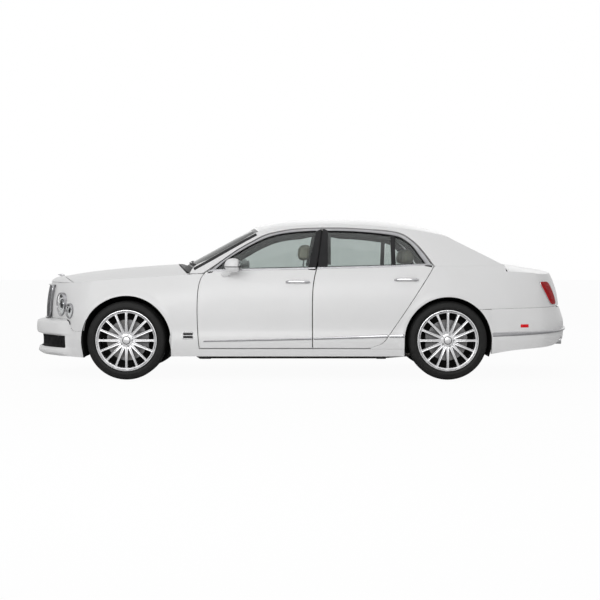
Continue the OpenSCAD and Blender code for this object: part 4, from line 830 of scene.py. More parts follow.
def paint_panels():
    """Painted outer panels: each is a wall below the body surface."""
    u, v = grid(72, 60)
    k = np.linspace(0, 1, 12)
    arm = sweep(xyz(mix(fx(524), fx(615), k), 760, mix(bz(-51), bz(-57), k)), np.tile([0, 0, 1.0], (12, 1)),
                np.tile([0, 1.0, 0], (12, 1)),
                oval(18, 8, 16, 3), 1)
    pin = lathe([[0.01, -4], [9, -4], [9, 4], [6, 5], [6, 32], [0.01, 32]], (fx(615), 760, bz(-57)), 24, 1)
    piece("bonnet_panel", [shell(drawn_in(whole(bonnet_half, u, mix(0.0015, 0.998, v)), 5), 16,
                                 14)] + both(arm) + both(pin),
          [PAINT, INNER_PAINT], "bonnet", "bonnet", bevel=2)
    u, v = grid(48, 54)
    piece("roof_skin", shell(drawn_in(whole(roof_half, u, v), 1), 30, 20), [PAINT, LINING], "body", "roof_panel",
          bevel=1)
    piece("cabin_side_frames", both(shell(rail_grid(160, 8), 40)), [PAINT, LINING], "body", "side_frames",
          bevel=1)
    u, v = grid(54, 52)
    lid = [shell(drawn_in(whole(lid_half, u, mix(0.004, 0.992, v)), 7), 16, 14)]
    neck = np.array([[-12, 0], [22, -104], [72, -160], [142, -160], [222, -112], [282, -26], [298, 18], [272, 28],
                     [250, -6], [206, -76],
                     [150, -126], [95, -134], [52, -96], [14, 8]], float)
    mid = np.array([[rx(450), 0, bz(-18)]])
    outer = through(neck[:7], np.linspace(0, 1, 24))
    inner = through(neck[:6:-1], np.linspace(0, 1, 24))
    path = (outer + inner) / 2
    wide = np.linalg.norm(outer - inner, axis=1)
    arm = sweep(xyz(path[:, 0], 470, path[:, 1]) + mid, unit(xyz((outer - inner)[:, 0], 0, (outer - inner)[:, 1])),
                np.tile([0.0, 1.0, 0.0], (24, 1)), oval(1, 8 / 30, 12, 6) * 1.0, 1, wide)
    eye = lathe([[8.4, -4], [16, -4], [16, 4], [8.4, 4]], (rx(450), 470, bz(-18)), 32, 1)
    piece("boot_lid_panel", lid + both(arm) + both(eye), [PAINT, INNER_PAINT], "boot_lid", "boot_lid",
          bevel=2)
    wing = piece("front_wing_panels", both(shell(wing_grid(), 14)), [PAINT, INNER_PAINT], "body", "front_wings",
                 bevel=1.5)
    cut(wing, [turned(lathe([[0.01, -160], [r + 1, -160], [r + 1, 160], [0.01, 160]], at, 64, axis=ax), sd)
               for sd in (RIGHT, LEFT) for at, ax, r in LAMPS])
    piece("rear_quarter_panels", both(shell(quarter_grid(), 14)), [PAINT, INNER_PAINT], "body", "rear_quarters",
          bevel=1.5)
    nose = piece("nose_skin", shell(nose_grid(84, 56), 14), [PAINT, INNER_PAINT], "body", "nose_panel",
                 bevel=1.5)
    hole = sweep(xyz(fx(np.array([-1100.0, -600.0])), 0, bz(-331)), np.tile([0, 1.0, 0], (2, 1)),
                 np.tile([0, 0, 1.0], (2, 1)),
                 oval(704, 333, 64, 9))
    cut(nose, [hole])
    s5 = S_N[5] + 30
    piece("front_bumper_skin", [shell(front_part(s5, SILL + 190, None, 150, 22), 22),
                                shell(front_part(s5, SILL - 14, SILL + 70, 90, 12), 30)]
          + both(shell(front_part(fx(-ARCH_F - 3), SILL - 14, None, 36, 30, S_N[4] - 52), 22, edge=1))
          + [block((fx(-790), -448, 430), (fx(-740.5), 448, 475), 1)] + both(block((fx(-905), 380, 432),
                                                            (fx(-780), 440, 472), 1)),
          [PAINT, BLACK_TRIM], "body", "front_bumper", bevel=1.5)
    rear_u, rear_v = grid(110, 28)

    def rear_bumper_half(a, b):
        s = mix(S_TAIL, rx(ARCH_R + 2), a)
        return bumper_rear(s, mix(curve(BOT_R, s), curve(TOP_R, s) - np.where(s > S_LID, 8, 1), b))
    cu, cv = grid(10, 24)
    z = mix(HUB_Z, curve(TOP_R, rx(306)) - 2, cv)
    x0 = rx(np.sqrt(np.maximum(0, ARCH_R**2 - (z - HUB_Z)**2)) + 2)
    bumper = piece("rear_bumper_skin", shell(whole(rear_bumper_half, 1 - rear_u, rear_v), 24), [PAINT, BLACK_TRIM],
                   "body",
                   "rear_bumper", bevel=1.5)
    piece("rear_bumper_corners", both(shell(flank(mix(x0, rx(ARCH_R + 6), cu), z),
                                            24)) + [block((rx(1060.5), -500, 450), (rx(1180), 500, 520), 1)],
          [PAINT, BLACK_TRIM], "body", bevel=1)
    holes = [turned(lathe([[0.01, -120], [42, -120], [42, 320], [0.01, 320]], (rx(1000), 524.2, 366), 48,
                          axis=(415, 90, 0)), sd)
             for sd in (RIGHT, LEFT)]
    cut(bumper, holes + [block((rx(1262), -160, 432), (rx(1400), 160, 568))])


HINGE_F, HINGE_R, HINGE_ZS = (-986.0, 933.4), (135.4, 936.8), (600.0, 780.0)
STRIP = [[-1010, 378, 12], [109, 404, 19], [857, 430, 31], [1012, 433, 36]]


def lower_strip(x0, x1, n=60):
    """Bright strip low on the doors: its height and width both grow towards the rear."""
    x = np.linspace(x0, x1, n)
    p = curve(STRIP, x)
    N = surf_normal(flank, x, p[:, 0])
    path = flank(x, p[:, 0]) + 1.5 * N
    ac, out = frame_on(path, N)
    S = oval(1, 1, 16, 3.5)
    G = path[:, None] + (p[:, 1, None] * S[:, 0])[..., None] * ac[:, None] + (9 * S[:, 1])[None, :, None] * out[:, None]
    return tube_faces(G)


def tube_faces(G, finish=0):
    """Closes a grid of section rows along a path into a bar with fan ends."""
    n, m = G.shape[:2]
    i, j = np.meshgrid(np.arange(n - 1), np.arange(m), indexing="ij")
    j2 = (j + 1) % m
    F = np.stack([i * m + j, (i + 1) * m + j, (i + 1) * m + j2, i * m + j2], -1).reshape(-1, 4)
    q = np.arange(1, m - 1, 2)
    a = np.column_stack([np.zeros_like(q), q, q + 1, (q + 2) % m])
    F = np.concatenate([F, a, a[:, ::-1] + (n - 1) * m])
    return G.reshape(-1, 3), F, np.full(len(F), finish)


def line_strip(outer, inner, corners, t0, t1, n=120):
    """Bright surround of a window: most of the frame's width, crowned by an arch across it, 6 mm thick."""
    P = ring_grid(outer, inner, corners, n, 6, 0.10, 0.94, t0, t1)
    crown = 2.0 + 2.5 * np.sin(np.pi * np.linspace(0, 1, 7))[:, None, None]
    return shell(P + crown * normals(P), 6, inner=0)


def doors():
    """Doors: skin over the whole thickness, window frame, hinge pins, bright strips."""
    for side, tag in ((LEFT, "left"), (RIGHT, "right")):
        for end, skin, fo_, fi_, corners, hinge, steps in (
                ("front", door_front, FRAME_FO, FRAME_FI, (9,), HINGE_F, (64, 44)),
                ("rear", door_rear, FRAME_RO, FRAME_RI, (3, 12), HINGE_R, (64, 44))):
            name = end + "_door_" + tag
            parts = [shell(skin(*grid(*steps)), 98, 46, side=side, outer=0, inner=1)]
            o = piece(name + "_skin", parts, [PAINT, CREAM], name, name, bevel=2)
            cut(o, [turned(block((hinge[0] - 32, hinge[1] - 130, z - 30), (hinge[0] + 13, hinge[1] + 9, z + 30), r=1),
                           side) for z in HINGE_ZS])
            ring = [shell(ring_grid(fo_, fi_, corners, 180, 5), 34, side=side, outer=0, inner=1)]
            if end == "rear":
                u, v = grid(3, 24)
                ring.append(shell(flank(mix(rx(-548), rx(-505), u), mix(bz(14), rz(-160), v)), 26, side=side))
            ring.append(shell(lining_grid(fo_, fi_, corners, 150, 30), 8, sink=36, side=side, outer=2, inner=2))
            piece(name + "_window_frame", ring, [BLACK_GLOSS, BLACK_TRIM, FRAME_TRIM], name)
            pins = [turned(lathe([[0.01, -40], [5, -40], [5, 40], [0.01, 40]], (*hinge, z), 20, axis=(0, 0, 1),
                                 up=(1, 0, 0)), side)
                    for z in HINGE_ZS]
            piece(name + "_hinge_pins", pins, STEEL, name)
            if end == "front":
                x = np.linspace(fx(800), B_X + 24, 70)
                bright = [line_strip(fo_, fi_, corners, 0.02, 0.755), lower_strip(x_front(380.0) + 52, x_b(400.0) - 10)]
            else:
                x = np.linspace(B_X + 46, rx(-150), 70)
                bright = [line_strip(fo_, fi_, corners, 0.232, 0.955), lower_strip(x_b(400.0) + 10, x_rear(430.0) - 14)]
            bright.append(strip_on(flank, x, zsh(x) + 3, 15, 10, 1))
            # A thin brighter chrome bead on top of the belt strip: a painted highlight.
            highlight_bead = [strip_on(flank, x, zsh(x) + 9, 5, 8, 3, 1)]
            piece(name + "_bright_strips", [turned(b, side) for b in bright + highlight_bead], [SHADED_CHROME, CHROME], name)
            glass(end, side, tag)
            handle(end, side, tag)


def glass(end, side, tag):
    """Side glass: rungs from just above the shoulder to the frame's inner edge, set 12 mm back."""
    def pane(P, corners, t0, t1, x0, x1, n=60):
        """One pane between the shoulder line and a stretch of the frame's inner outline."""
        t, v = grid(n, 24, (t0, t1))
        top = through(P, t, corners)
        x = mix(x0, x1, (t - t0) / (t1 - t0))
        p = mix(np.stack([x, zsh(x) - 2], -1), top, v[..., None])
        return shell(flank(p[..., 0], p[..., 1]), 5, sink=12, side=side, inner=0)
    if end == "front":
        parts = [pane(FRAME_FI, (9,), 0.03, 0.75, fx(884), B_X - 44)]
    else:
        parts = [pane(FRAME_RI, (3, 12), 3 / 13, 6.7 / 13, B_X + 148, rx(-548)),
                 pane(FRAME_RI, (3, 12), 7.2 / 13, 12 / 13, rx(-505), rx(-232))]
    piece(end + "_glass_" + tag + "_pane", parts, GLASS, end + "_door_" + tag, end + "_glass_" + tag)


def handle(end, side, tag):
    """Pull handle: an oval bar that bows out from its two feet, its section slimmer at the ends."""
    x0, z0 = (B_X - 262, bz(-131)) if end == "front" else (rx(-522), bz(-110))
    k = np.linspace(0, 1, 41)
    x = x0 + 232 * k
    N = surf_normal(flank, x, np.full(41, z0))
    path = flank(x, np.full(41, z0)) + (8 + 27 * (1 - np.abs(2 * k - 1)**5))[:, None] * N
    ac, out = frame_on(path, N)
    S = oval(25, 13, 20, 2.6)
    width = 0.75 + 0.25 * (1 - np.abs(2 * k - 1)**3)
    G = path[:, None] + (width[:, None] * S[None, :, 0])[..., None] * ac[:,
                                                            None] + (width[:, None] * S[None, :, 1])[...,
                                                            None] * out[:, None]
    bar = tube_faces(G)
    feet = []
    for d in (24, 208):
        p, n = flank(x0 + d, z0), surf_normal(flank, x0 + d, z0)
        w = np.array([0.3, 6, 14, 22, 30])
        feet.append(sweep(p + w[:, None] * n, np.tile([1.0, 0, 0], (5, 1)), np.tile([0, 0, 1.0], (5, 1)),
                          oval(36, 24, 20, 2.4)[::-1],
                          0, [1.15, 0.95, 0.85, 0.8, 0.75]))
    p = flank(x0 + 116, z0 + 8)
    hump = dome(p + [0, 1, 0], (62, 13, 27), 1, 40, 20, 2.2)
    name = end + "_handle_" + tag
    piece(name + "_bar", [turned(b, side) for b in [bar] + feet + [hump]], [CHROME, PAINT], end + "_door_" + tag,
          name)


def mirrors():
    """Door mirrors: rounded head with a black line round it, a swept foot and a silvered plate facing back."""
    y = float(band(fx(960), bz(-60))[1])
    for side, tag in ((LEFT, "left"), (RIGHT, "right")):
        c = np.array([fx(1048), y + 118, bz(34)])
        head = dome(c, (83, 117, 69), 0, 64, 40, 2.15)
        V = head[0]
        V[:, 0] = np.where(V[:, 0] > c[0] + 48, c[0] + 48 + (V[:, 0] - c[0] - 48) * 0.72, V[:, 0])
        foot = sweep(through([[fx(962), y - 6, bz(-62)], [fx(968), y + 34, bz(-56)], [fx(990), y + 66, bz(-36)],
                              [fx(1020), y + 92, bz(2)]], np.linspace(0, 1, 24)),
                     np.tile([1.0, 0, 0], (24, 1)), np.tile([0, 0.45, 0.9], (24, 1)), oval(84, 46, 28, 2.6)[::-1], 0,
                     np.linspace(1.0, 0.62, 24))
        a = np.linspace(0, 2 * np.pi, 72, endpoint=False)
        f = lambda v: np.sign(v) * np.abs(v)**(2 / 2.15)
        k = (1 - (14 / 69)**2.15)**(1 / 2.15)
        px = c[0] + 83.5 * k * f(np.cos(a))
        px = np.where(px > c[0] + 48, c[0] + 48 + (px - c[0] - 48) * 0.72, px)
        path = xyz(px, c[1] + 117.5 * k * f(np.sin(a)), c[2] - 14)
        line = sweep(path, np.tile([0, 0, 1.0], (72, 1)), unit(xyz(np.cos(a), np.sin(a), 0)), oval(8, 4, 8), 1,
                     ring=True)
        r, t = np.meshgrid(np.linspace(0.02, 1, 12), np.linspace(0, 2 * np.pi, 49), indexing="ij")
        plate = shell(xyz(c[0] + 73.6 - 9 * r**2, c[1] + 4 + 92 * r * f(np.cos(t)),
                          c[2] + 2 + 50 * r * f(np.sin(t)))[::-1], 5)
        plate = (plate[0], plate[1], np.full(len(plate[1]), 2))
        piece("mirror_" + tag + "_head", [turned(p, side) for p in (head, foot, line, plate)],
              [PAINT, BLACK_GLOSS, MIRROR],
              "front_door_" + tag, "mirror_" + tag)


def sills():
    """Sills, hinge posts and centre posts."""
    u, v = grid(80, 12)
    s = mix(fx(ARCH_F + 1), rx(-ARCH_R - 1), u)
    fy = HW - 175
    z = np.array([SILL + 60, 700, bz(-84), bz(10), bz(70), rz(-280), rz(-128.4)])
    inn = np.array([112, 112, 112, 112, 48, 48, 48.0])
    d, zz = np.meshgrid(np.linspace(-45, 45, 7), np.linspace(z[0], z[-1], 60))
    post = flank(x_b(zz) + d, zz) - xyz(0, np.interp(zz, z, inn), 0)
    parts = [shell(band(s, mix(SILL, WING_Z - 0.5, v)), 60), shell(post, 40, inner=1, outer=1),
             block((fx(450), fy, SILL), (rx(-440), HW - 70, SILL + 66), 0, 4),
             block((fx(600), fy, SILL + 40), (fx(672), HW - 110, bz(-150)), 0)]
    piece("sill_panels", [t for p in parts for t in both(p)], [PAINT, BLACK_TRIM], "body", "sills",
          bevel=1.5)


def screens():
    """Windscreen and rear window with a dark fired border, and the scuttle with its wipers."""
    for name, half, g, n in (("windscreen", screen_half, (0.006, 0.99), "windscreen_pane"),
                             ("rear_window", rear_half, (0.012, 0.99), "rear_window_pane")):
        u, v = grid(72, 40)
        part = shell(drawn_in(whole(half, u, mix(*g, v)), 1.5), 6, inner=0)
        nr, nc = u.shape
        i, j = np.divmod(np.arange((nr - 1) * (nc - 1)), nc - 1)
        edge = (i < 3) | (i > nr - 4) | (j < 2) | (j > nc - 4)
        part[2][:len(edge)] = edge
        part[2][-len(edge):] = edge
        piece(n, part, [SHADED_SCREEN, BLACK_GLOSS], "body", name)
    edge = screen_half(np.ones(60), np.linspace(0.02, 0.96, 60))
    seal = strip_on(flank, edge[:, 0], edge[:, 2] - 15, 32, 6, 0.5)
    piece("screen_seals", both(seal), BLACK_TRIM, "body")
    u, v = grid(80, 16)
    cowl = drawn_in(whole(cowl_half, u, v), 100)
    slots = 3 * np.maximum(0, np.sin(v * 9 * np.pi)) * (np.abs(2 * u - 1) < 0.8)
    cowl[..., 2] -= slots
    piece("scuttle", shell(cowl, 14), [BLACK_TRIM, BLACK_TRIM], "body", "cowl_panel")
    arms = []
    for u0, u1 in ((0.30, 0.06), (0.66, 0.42)):
        k = np.linspace(0, 1, 30)
        P = whole(screen_half, mix(u0, u1, k), mix(0.03, 0.045, k))
        N = np.tile(unit(np.array([-0.55, 0, 0.83])), (30, 1))
        ac, out = frame_on(P + 10 * N, N)
        arms.append(sweep(P + 10 * N, ac, out, oval(16, 12, 10), 0, np.linspace(1, 0.7, 30)))
        P2 = whole(screen_half, mix(u0 + 0.16, u1 - 0.02, k), mix(0.055, 0.06, k))
        ac, out = frame_on(P2 + 7 * N, N)
        arms.append(sweep(P2 + 7 * N, ac, out, oval(9, 13, 10), 0))
    piece("wipers", arms, BLACK_TRIM, "body")


def lamps():
    """Round headlamps: bright bezel, reflector bowl, projector with its own lens, clear domed cover."""
    for i, (at, ax, r) in enumerate(LAMPS):
        tag = ("large", "small")[i]
        bezel = lathe([[r - 12, -40], [r - 12, 2], [r - 9, 9], [r - 3, 11], [r + 2, 7], [r + 3, 0], [r + 0.4, -40]],
                      at, 96, axis=ax)
        bowl = lathe([[r - 12, 2], [r * 0.80, -18], [r * 0.55, -33], [r * 0.3, -40], [0.3, -42], [0.3, -45],
                      [r * 0.5, -43], [r - 13, -40]], at, 96, 1, axis=ax)
        projector = lathe([[r * 0.46, -36], [r * 0.46, -6], [r * 0.42, 0], [r * 0.36, -4], [r * 0.34, -34]], at, 64,
                          axis=ax)
        lens = lathe([[0.3, 8], [r * 0.15, 6], [r * 0.28, 1], [r * 0.36, -6], [r * 0.3, -8], [0.3, -8]], at, 64, 2,
                     axis=ax)
        halo = lathe([[r * 0.62, -16], [r * 0.68, -10], [r * 0.74, -12], [r * 0.70, -20]], at, 96, 3, axis=ax)
        piece("headlamp_" + tag + "_bodies", [t for p in (bezel, bowl, projector, lens, halo) for t in both(p)],
              [SHADED_CHROME, BLACK_TRIM, BLACK_GLOSS, MIRROR],
              "body", "headlamps" if i == 0 else ())
        cover = lathe([[r - 11, 5], [r * 0.75, 13], [r * 0.4, 18], [0.3, 20], [0.3, 17], [r * 0.4, 15],
                       [r * 0.75, 10], [r - 11, 2]], at, 96, axis=ax)
        piece("headlamp_" + tag + "_covers", both(cover), CLEAR, "body")


def tail_patch(r, t, lift):
    """Point of a tail lamp in polar form: a rounded slanted shape on the flank, lifted off it."""
    f = lambda v: np.sign(v) * np.abs(v)**(2 / 4.4)
    a, b = r * f(np.cos(t)), r * f(np.sin(t))
    h = (1 + b) / 2
    return band(S_T[1] + mix(233, 128, h) + a * mix(62, 86, h), mix(bz(-354), bz(-128), h), lift)


def tail_lamps():
    """Tail lamps: a bright rim, a deep red field and a brighter domed oval; side markers on the bumper."""
    t = np.linspace(2 * np.pi, 0, 121)
    r = np.concatenate([np.linspace(0.002, 0.56, 10), np.linspace(0.60, 0.97, 8)])
    R, T = np.meshgrid(r, t, indexing="ij")
    lens = shell(tail_patch(R, T, 10 - 7 * R**2 + 5 * np.exp(-((R - 0.58) / 0.04)**2))[::-1], 9)
    rows = np.repeat(r[::-1][:-1] > 0.575, 120)
    lens[2][:len(rows)] = rows
    a = t[:-1]
    rim_path = tail_patch(np.ones(120), a, 3.0)
    near = unit(tail_patch(np.ones(120), a, 8.0) - tail_patch(np.ones(120), a, 0.0))
    ac, out = frame_on(np.vstack([rim_path, rim_path[:1]]), np.vstack([near, near[:1]]))
    rim = sweep(rim_path, ac[:-1], out[:-1], oval(11, 12, 12), 2, ring=True)
    mark_u, mark_v = grid(16, 8, (-1, 1), (-1, 1))
    marker = shell(bumper_rear(rx(748) + 40 * mark_u, 527 + 15 * mark_v) + xyz(0,
                                                            3 * (1 - mark_u**4) * (1 - mark_v**4), 0), 6, sink=-1,
                   inner=0)
    piece("tail_lamp_lenses", both(lens) + both(rim) + both(marker), [RED, RED_DEEP, CHROME], "body", "tail_lamps")


def grilles():
    """Radiator grille: a fine crossed lattice in a bright frame; lower intake: the same lattice, dark."""
    def lattice(f, s1, z0, z1, nv, nh, depth, w, finish):
        """Upright and level bars crossing on a surface f, set back by depth."""
        parts = []
        k = np.linspace(-1, 1, 60)
        for i in range(nv + 1):
            c = mix(-1, 1, i / nv)
            z = np.linspace(z0, z1, 10)
            P = whole_line(f, np.full(10, c), z, s1)
            N = line_out(P)
            ac, out = frame_on(P - depth * N, N)
            parts.append(sweep(P - depth * N, ac, out, oval(w, w * 1.6, 6), finish))
        for i in range(nh + 1):
            P = whole_line(f, k, np.full(60, mix(z0, z1, i / nh)), s1)
            N = line_out(P)
            ac, out = frame_on(P - (depth + w) * N, N)
            parts.append(sweep(P - (depth + w) * N, ac, out, oval(w, w * 1.6, 6), finish))
        return parts

    def whole_line(f, c, z, s1):
        P = f(mix(S_NOSE, s1, np.abs(c)), z)
        return P * np.column_stack([np.ones_like(c), np.where(c < 0, -1, 1), np.ones_like(c)])

    def line_out(P): return unit(np.column_stack([-np.ones(len(P)), 0.0016 * P[:, 1], np.zeros(len(P))]))
    s2 = S_N[2] + 24
    z0, z1 = bz(-494), bz(-169)
    piece("grille_lattice", lattice(lambda s, z: band(s, z, 20.0), s2, z0, z1, 44, 24, 12, 4.5, 0), [DARK_CHROME],
          "body", "radiator_grille")
    S = oval(704, 333, 160, 9)
    k = np.abs(S[:, 0])
    P = np.stack([curve(np.column_stack([NOSE[:4, 1], NOSE[:4, 0]]), k), S[:, 0], bz(-331) + S[:, 1]], -1)
    h = (P[:, 2] - SILL) / (bz(-140) - SILL)
    P[:, 0] += 44 * np.maximum(0, (h - 0.5) / 0.5)**2.2 - 16
    near = line_out(P)
    ac, out = frame_on(np.vstack([P, P[:1]]), np.vstack([near, near[:1]]))
    piece("grille_frame", sweep(P, ac[:-1], out[:-1], oval(9, 30, 14, 2.4), 0, ring=True), SHADED_CHROME, "body")
    u, v = grid(60, 8)
    back = whole(lambda a_, b_: band(mix(S_NOSE, s2, a_), mix(z0, z1, b_), -30.0), u, v)
    piece("grille_dark", shell(back, 6, inner=0), BLACK_TRIM, "body")
    piece("intake_lattice", lattice(bumper_front, S_N[4] - 46, SILL + 72, SILL + 188, 56, 9, 12, 4, 0), [BLACK_GLOSS],
          "body", "intake_grille")
    back = whole(lambda a_, b_: bumper_front(mix(S_NOSE, S_N[4] - 42, a_), mix(SILL + 68, SILL + 192, b_)), u, v)
    piece("intake_dark", shell(back, 6, sink=24, inner=0), BLACK_TRIM, "body")


def wheel(tag, x, y, side):
    """One wheel: grooved tyre, stepped rim, sixteen ridged spokes, capped hub with bolts."""
    c = np.array([x, y, HUB_Z])
    h, r = 132.5, 298.0
    wall = np.array([[r - 16.6, h - 21], [r + 2, h - 21], [r + 6, h - 12], [r + 12, h - 6], [r + 24, h - 1.5],
                     [r + 36, h], [r + 39, h - 1.5], [r + 52, h - 2],
                     [HUB_Z - 24, h - 5], [HUB_Z - 16, h - 10], [HUB_Z - 8, h - 20], [HUB_Z - 3, h - 30]])
    g = []
    for q in (74, 26, -26, -74):
        g += [[HUB_Z - 0.4, q + 6.5], [HUB_Z - 8, q + 5], [HUB_Z - 8, q - 5], [HUB_Z - 0.4, q - 6.5]]
    prof = np.vstack([wall, g, wall[::-1] * [1, -1]])
    n = 120
    V, F, M = lathe(prof, c, n)
    tyre = turned((V, F, M), side)
    v = np.linspace(0, 1, len(prof))
    uv = np.stack(np.meshgrid(np.linspace(0, 1, n, endpoint=False), v, indexing="ij"), -1).reshape(-1, 2)
    piece("tyre_" + tag + "_rubber", tyre, RUBBER, "wheel_" + tag, "tyre_" + tag, uv=uv)
    rim = lathe([[r - 30, 9 - h], [r, 9 - h], [r, 20.4 - h], [r - 17, 20.4 - h], [r - 17, h - 20.4], [r, h - 20.4],
                 [r, h - 11], [r - 3, h - 9],
                 [r - 9, h - 9.5], [r - 12, h - 15], [r - 17, h - 20], [r - 20, h - 24], [r - 27, h - 27],
                 [r - 30, h - 40]], c, 144)
    # The inner barrel faces take the darkened alloy: painted shade inside the wheel.
    rim[2][np.tile(np.isin(np.arange(14), (12, 13)), 144)] = 1
    k = np.linspace(0, 1, 26)
    rho = mix(56, r - 24, k)
    half = 11.5 + 5 * (1 - k)**2 + 5 * np.clip((k - 0.86) / 0.14, 0, 1)**2
    face = 103 + 7 * np.sin(np.pi * k * 0.9) - 6 * (1 - k)**3
    sec = np.array([[-1.15, -24], [-1, -5], [-0.82, -0.8], [-0.55, 0], [-0.2, -1.2], [0, -3.6], [0.2, -1.2],
                    [0.55, 0], [0.82, -0.8], [1, -5], [1.15, -24]])
    ang = np.arange(16) * 2 * np.pi / 16
    P = np.stack([np.broadcast_to(rho[:, None], (26, 11)), half[:, None] * sec[:, 0], face[:, None] + sec[:, 1]], -1)
    cs, sn = np.cos(ang)[:, None, None], np.sin(ang)[:, None, None]
    G = np.stack([P[None, ..., 0] * sn + P[None, ..., 1] * cs, np.broadcast_to(P[None, ..., 2], (16, 26, 11)),
                  P[None, ..., 0] * cs - P[None, ..., 1] * sn], -1) + c
    i, j = np.meshgrid(np.arange(25), np.arange(11), indexing="ij")
    j2 = (j + 1) % 11
    f1 = np.stack([i * 11 + j, i * 11 + j2, (i + 1) * 11 + j2, (i + 1) * 11 + j], -1).reshape(-1, 4)
    F = (f1[None] + (np.arange(16) * 286)[:, None, None]).reshape(-1, 4)
    spokes = (G.reshape(-1, 3), F, np.zeros(len(F), int))
    hub = lathe([[0.3, 40.5], [78, 40.5], [78, 84], [74, 92], [66, 97], [52, 99], [40, 100], [38, 96], [34, 96],
                 [33, 101], [26, 104], [10, 105.5], [0.3, 106]], c, 96)
    hub[2][np.tile(np.isin(np.arange(13), (6, 7, 8)), 96)] = 2
    a5 = np.arange(5) * 2 * np.pi / 5
    bolts = [lathe([[0.3, 90], [8.5, 90], [8.5, 100.5], [6, 101], [5, 97], [0.3, 97]],
                   c + [57 * np.cos(t), 0, 57 * np.sin(t)], 16, 2) for t in a5]
    piece("rim_" + tag + "_alloy", [turned(p, side) for p in [rim, spokes, hub] + bolts],
          [ALLOY, SHADED_BARREL_ALLOY, BLACK_GLOSS], "wheel_" + tag, "rim_" + tag)
    # Dust shield widened to 266 mm and made black: partly the real shield, partly a painted-shade disc that blocks the
    # pale floor behind the spokes.
    shield_shade_disc = lathe([[60, -21], [262, -21], [266, -18], [262, -15.5], [60, -15.5]][::-1], c, 96)
    piece("brake_shield_shade_disc_" + tag, turned(shield_shade_disc, side), LINER, "knuckle_" + tag if tag[0] == "f" else "body")


def body_trim():
    """Bright strips of the rear bumper, quarters and wings, wing vents, plain finial, tail pipe tips."""
    parts = []
    k = np.linspace(0, 1, 120)
    s = mix(rx(ARCH_R + 8), S_TAIL, k)
    z = mix(444, 488, k)
    N = surf_normal(bumper_rear, s, z)
    path = bumper_rear(s, z) + 1.5 * N
    ac, out = frame_on(path, N)
    S = oval(1, 1, 16, 3.5)
    G = path[:, None] + (mix(42, 22, ease(k * 1.6))[:, None] * S[:, 0])[..., None] * ac[:,
                                                            None] + (mix(10, 34, ease(k * 1.1))[:, None] * S[:,
                                                            1])[..., None] * out[:, None]
    parts += both(tube_faces(G))
    parts += both(lower_strip(x_rear(430.0) + 8, rx(-ARCH_R) - 4, 16))
    # A brighter chrome bead along the top of the bumper strip: a painted highlight.
    highlight_bead = bumper_rear(s, z + mix(15, 7, ease(k * 1.6))) + (mix(6, 18, ease(k * 1.1)))[:, None] * N
    ac, out = frame_on(highlight_bead, N)
    parts += both(sweep(highlight_bead, ac, out, oval(9, 7, 10), 1))
    piece("body_bright_strips", parts, [SHADED_CHROME, CHROME], "body")
    u, v = grid(24, 12, (-1, 1), (-1, 1))
    dark, bright = [], []
    for zc in (450.0, 420.0):
        dark.append(shell(flank(-1098 + 48 * u, zc + 11 * v * (1 - 0.25 * u**6)), 5, sink=-1.2))
    S = oval(112, 70, 96, 5)
    P = np.vstack([S, S[:1]])
    N = surf_normal(flank, -1098 + P[:, 0], 435 + P[:, 1])
    path = flank(-1098 + P[:, 0], 435 + P[:, 1]) + 1.5 * N
    ac, out = frame_on(path, N)
    bright.append(sweep(path[:-1], ac[:-1], out[:-1], oval(7, 7, 10), 1, ring=True))
    x = np.linspace(-1146, -1050, 20)
    bright.append(strip_on(flank, x, np.full(20, 435.0), 6, 7, 1.5, 1))
    piece("wing_vents", [t for p in dark + bright for t in both(p)], [BLACK_TRIM, CHROME], "body")
    tips = lathe([[27, 0], [27, 160], [33, 164], [36, 162], [37, 156], [36, 0]], (rx(1020), 528.5, 366), 48,
                 axis=(415, 90, 0))
    piece("tail_pipe_tips", both(tips), CHROME, "body")
    t = np.linspace(0, np.pi, 24)
    fin = lathe(np.column_stack([19 * np.sin(t) * (0.6 + 0.4 * np.cos(t)) + 0.2, -36 * np.cos(t)]),
                (fx(-806), 0, bz(-70)), 32, axis=(-1, 0, 0.12), closed=False)
    piece("nose_finial", fin, CHROME, "body")


def swell(part, cap, voxel=9.5):
    """Cloth run on a closed part: remeshed to even cells, blown up by air pressure with no gravity for
    twenty frames, no point moving further than cap."""
    mesh = bpy.data.meshes.new("pad")
    mesh.from_pydata((part[0] * 0.001).tolist(), [], part[1].tolist())
    mesh.validate()
    obj = bpy.data.objects.new("pad", mesh)
    scene.collection.objects.link(obj)
    m = obj.modifiers.new("even", "REMESH")
    m.mode, m.voxel_size = "VOXEL", voxel * 0.001
    even = bpy.data.meshes.new_from_object(obj.evaluated_get(bpy.context.evaluated_depsgraph_get()))
    obj.modifiers.remove(m)
    obj.data = even
    c = obj.modifiers.new("air", "CLOTH")
    c.settings.quality, c.settings.mass = 4, 0.3
    c.settings.use_pressure, c.settings.uniform_pressure_force = True, 4.0
    c.settings.effector_weights.gravity = 0.0
    c.collision_settings.use_collision = False
    for f in range(1, 21):
        scene.frame_set(f)
    blown = obj.evaluated_get(bpy.context.evaluated_depsgraph_get()).to_mesh()
    n = len(even.vertices)
    a, b = np.empty(3 * n), np.empty(3 * n)
    even.vertices.foreach_get("co", a)
    blown.vertices.foreach_get("co", b)
    F = np.empty(len(even.loops), np.int64)
    even.loops.foreach_get("vertex_index", F)
    a, d = a.reshape(-1, 3) * 1000, (b - a).reshape(-1, 3) * 1000
    far = np.linalg.norm(d, axis=1, keepdims=True)
    V = a + d * np.minimum(1, cap / np.maximum(far, 1e-6))
    scene.frame_set(1)
    bpy.data.objects.remove(obj)
    bpy.data.meshes.remove(mesh)
    bpy.data.meshes.remove(even)
    F = F.reshape(-1, 4)
    return V, F, np.zeros(len(F), int)


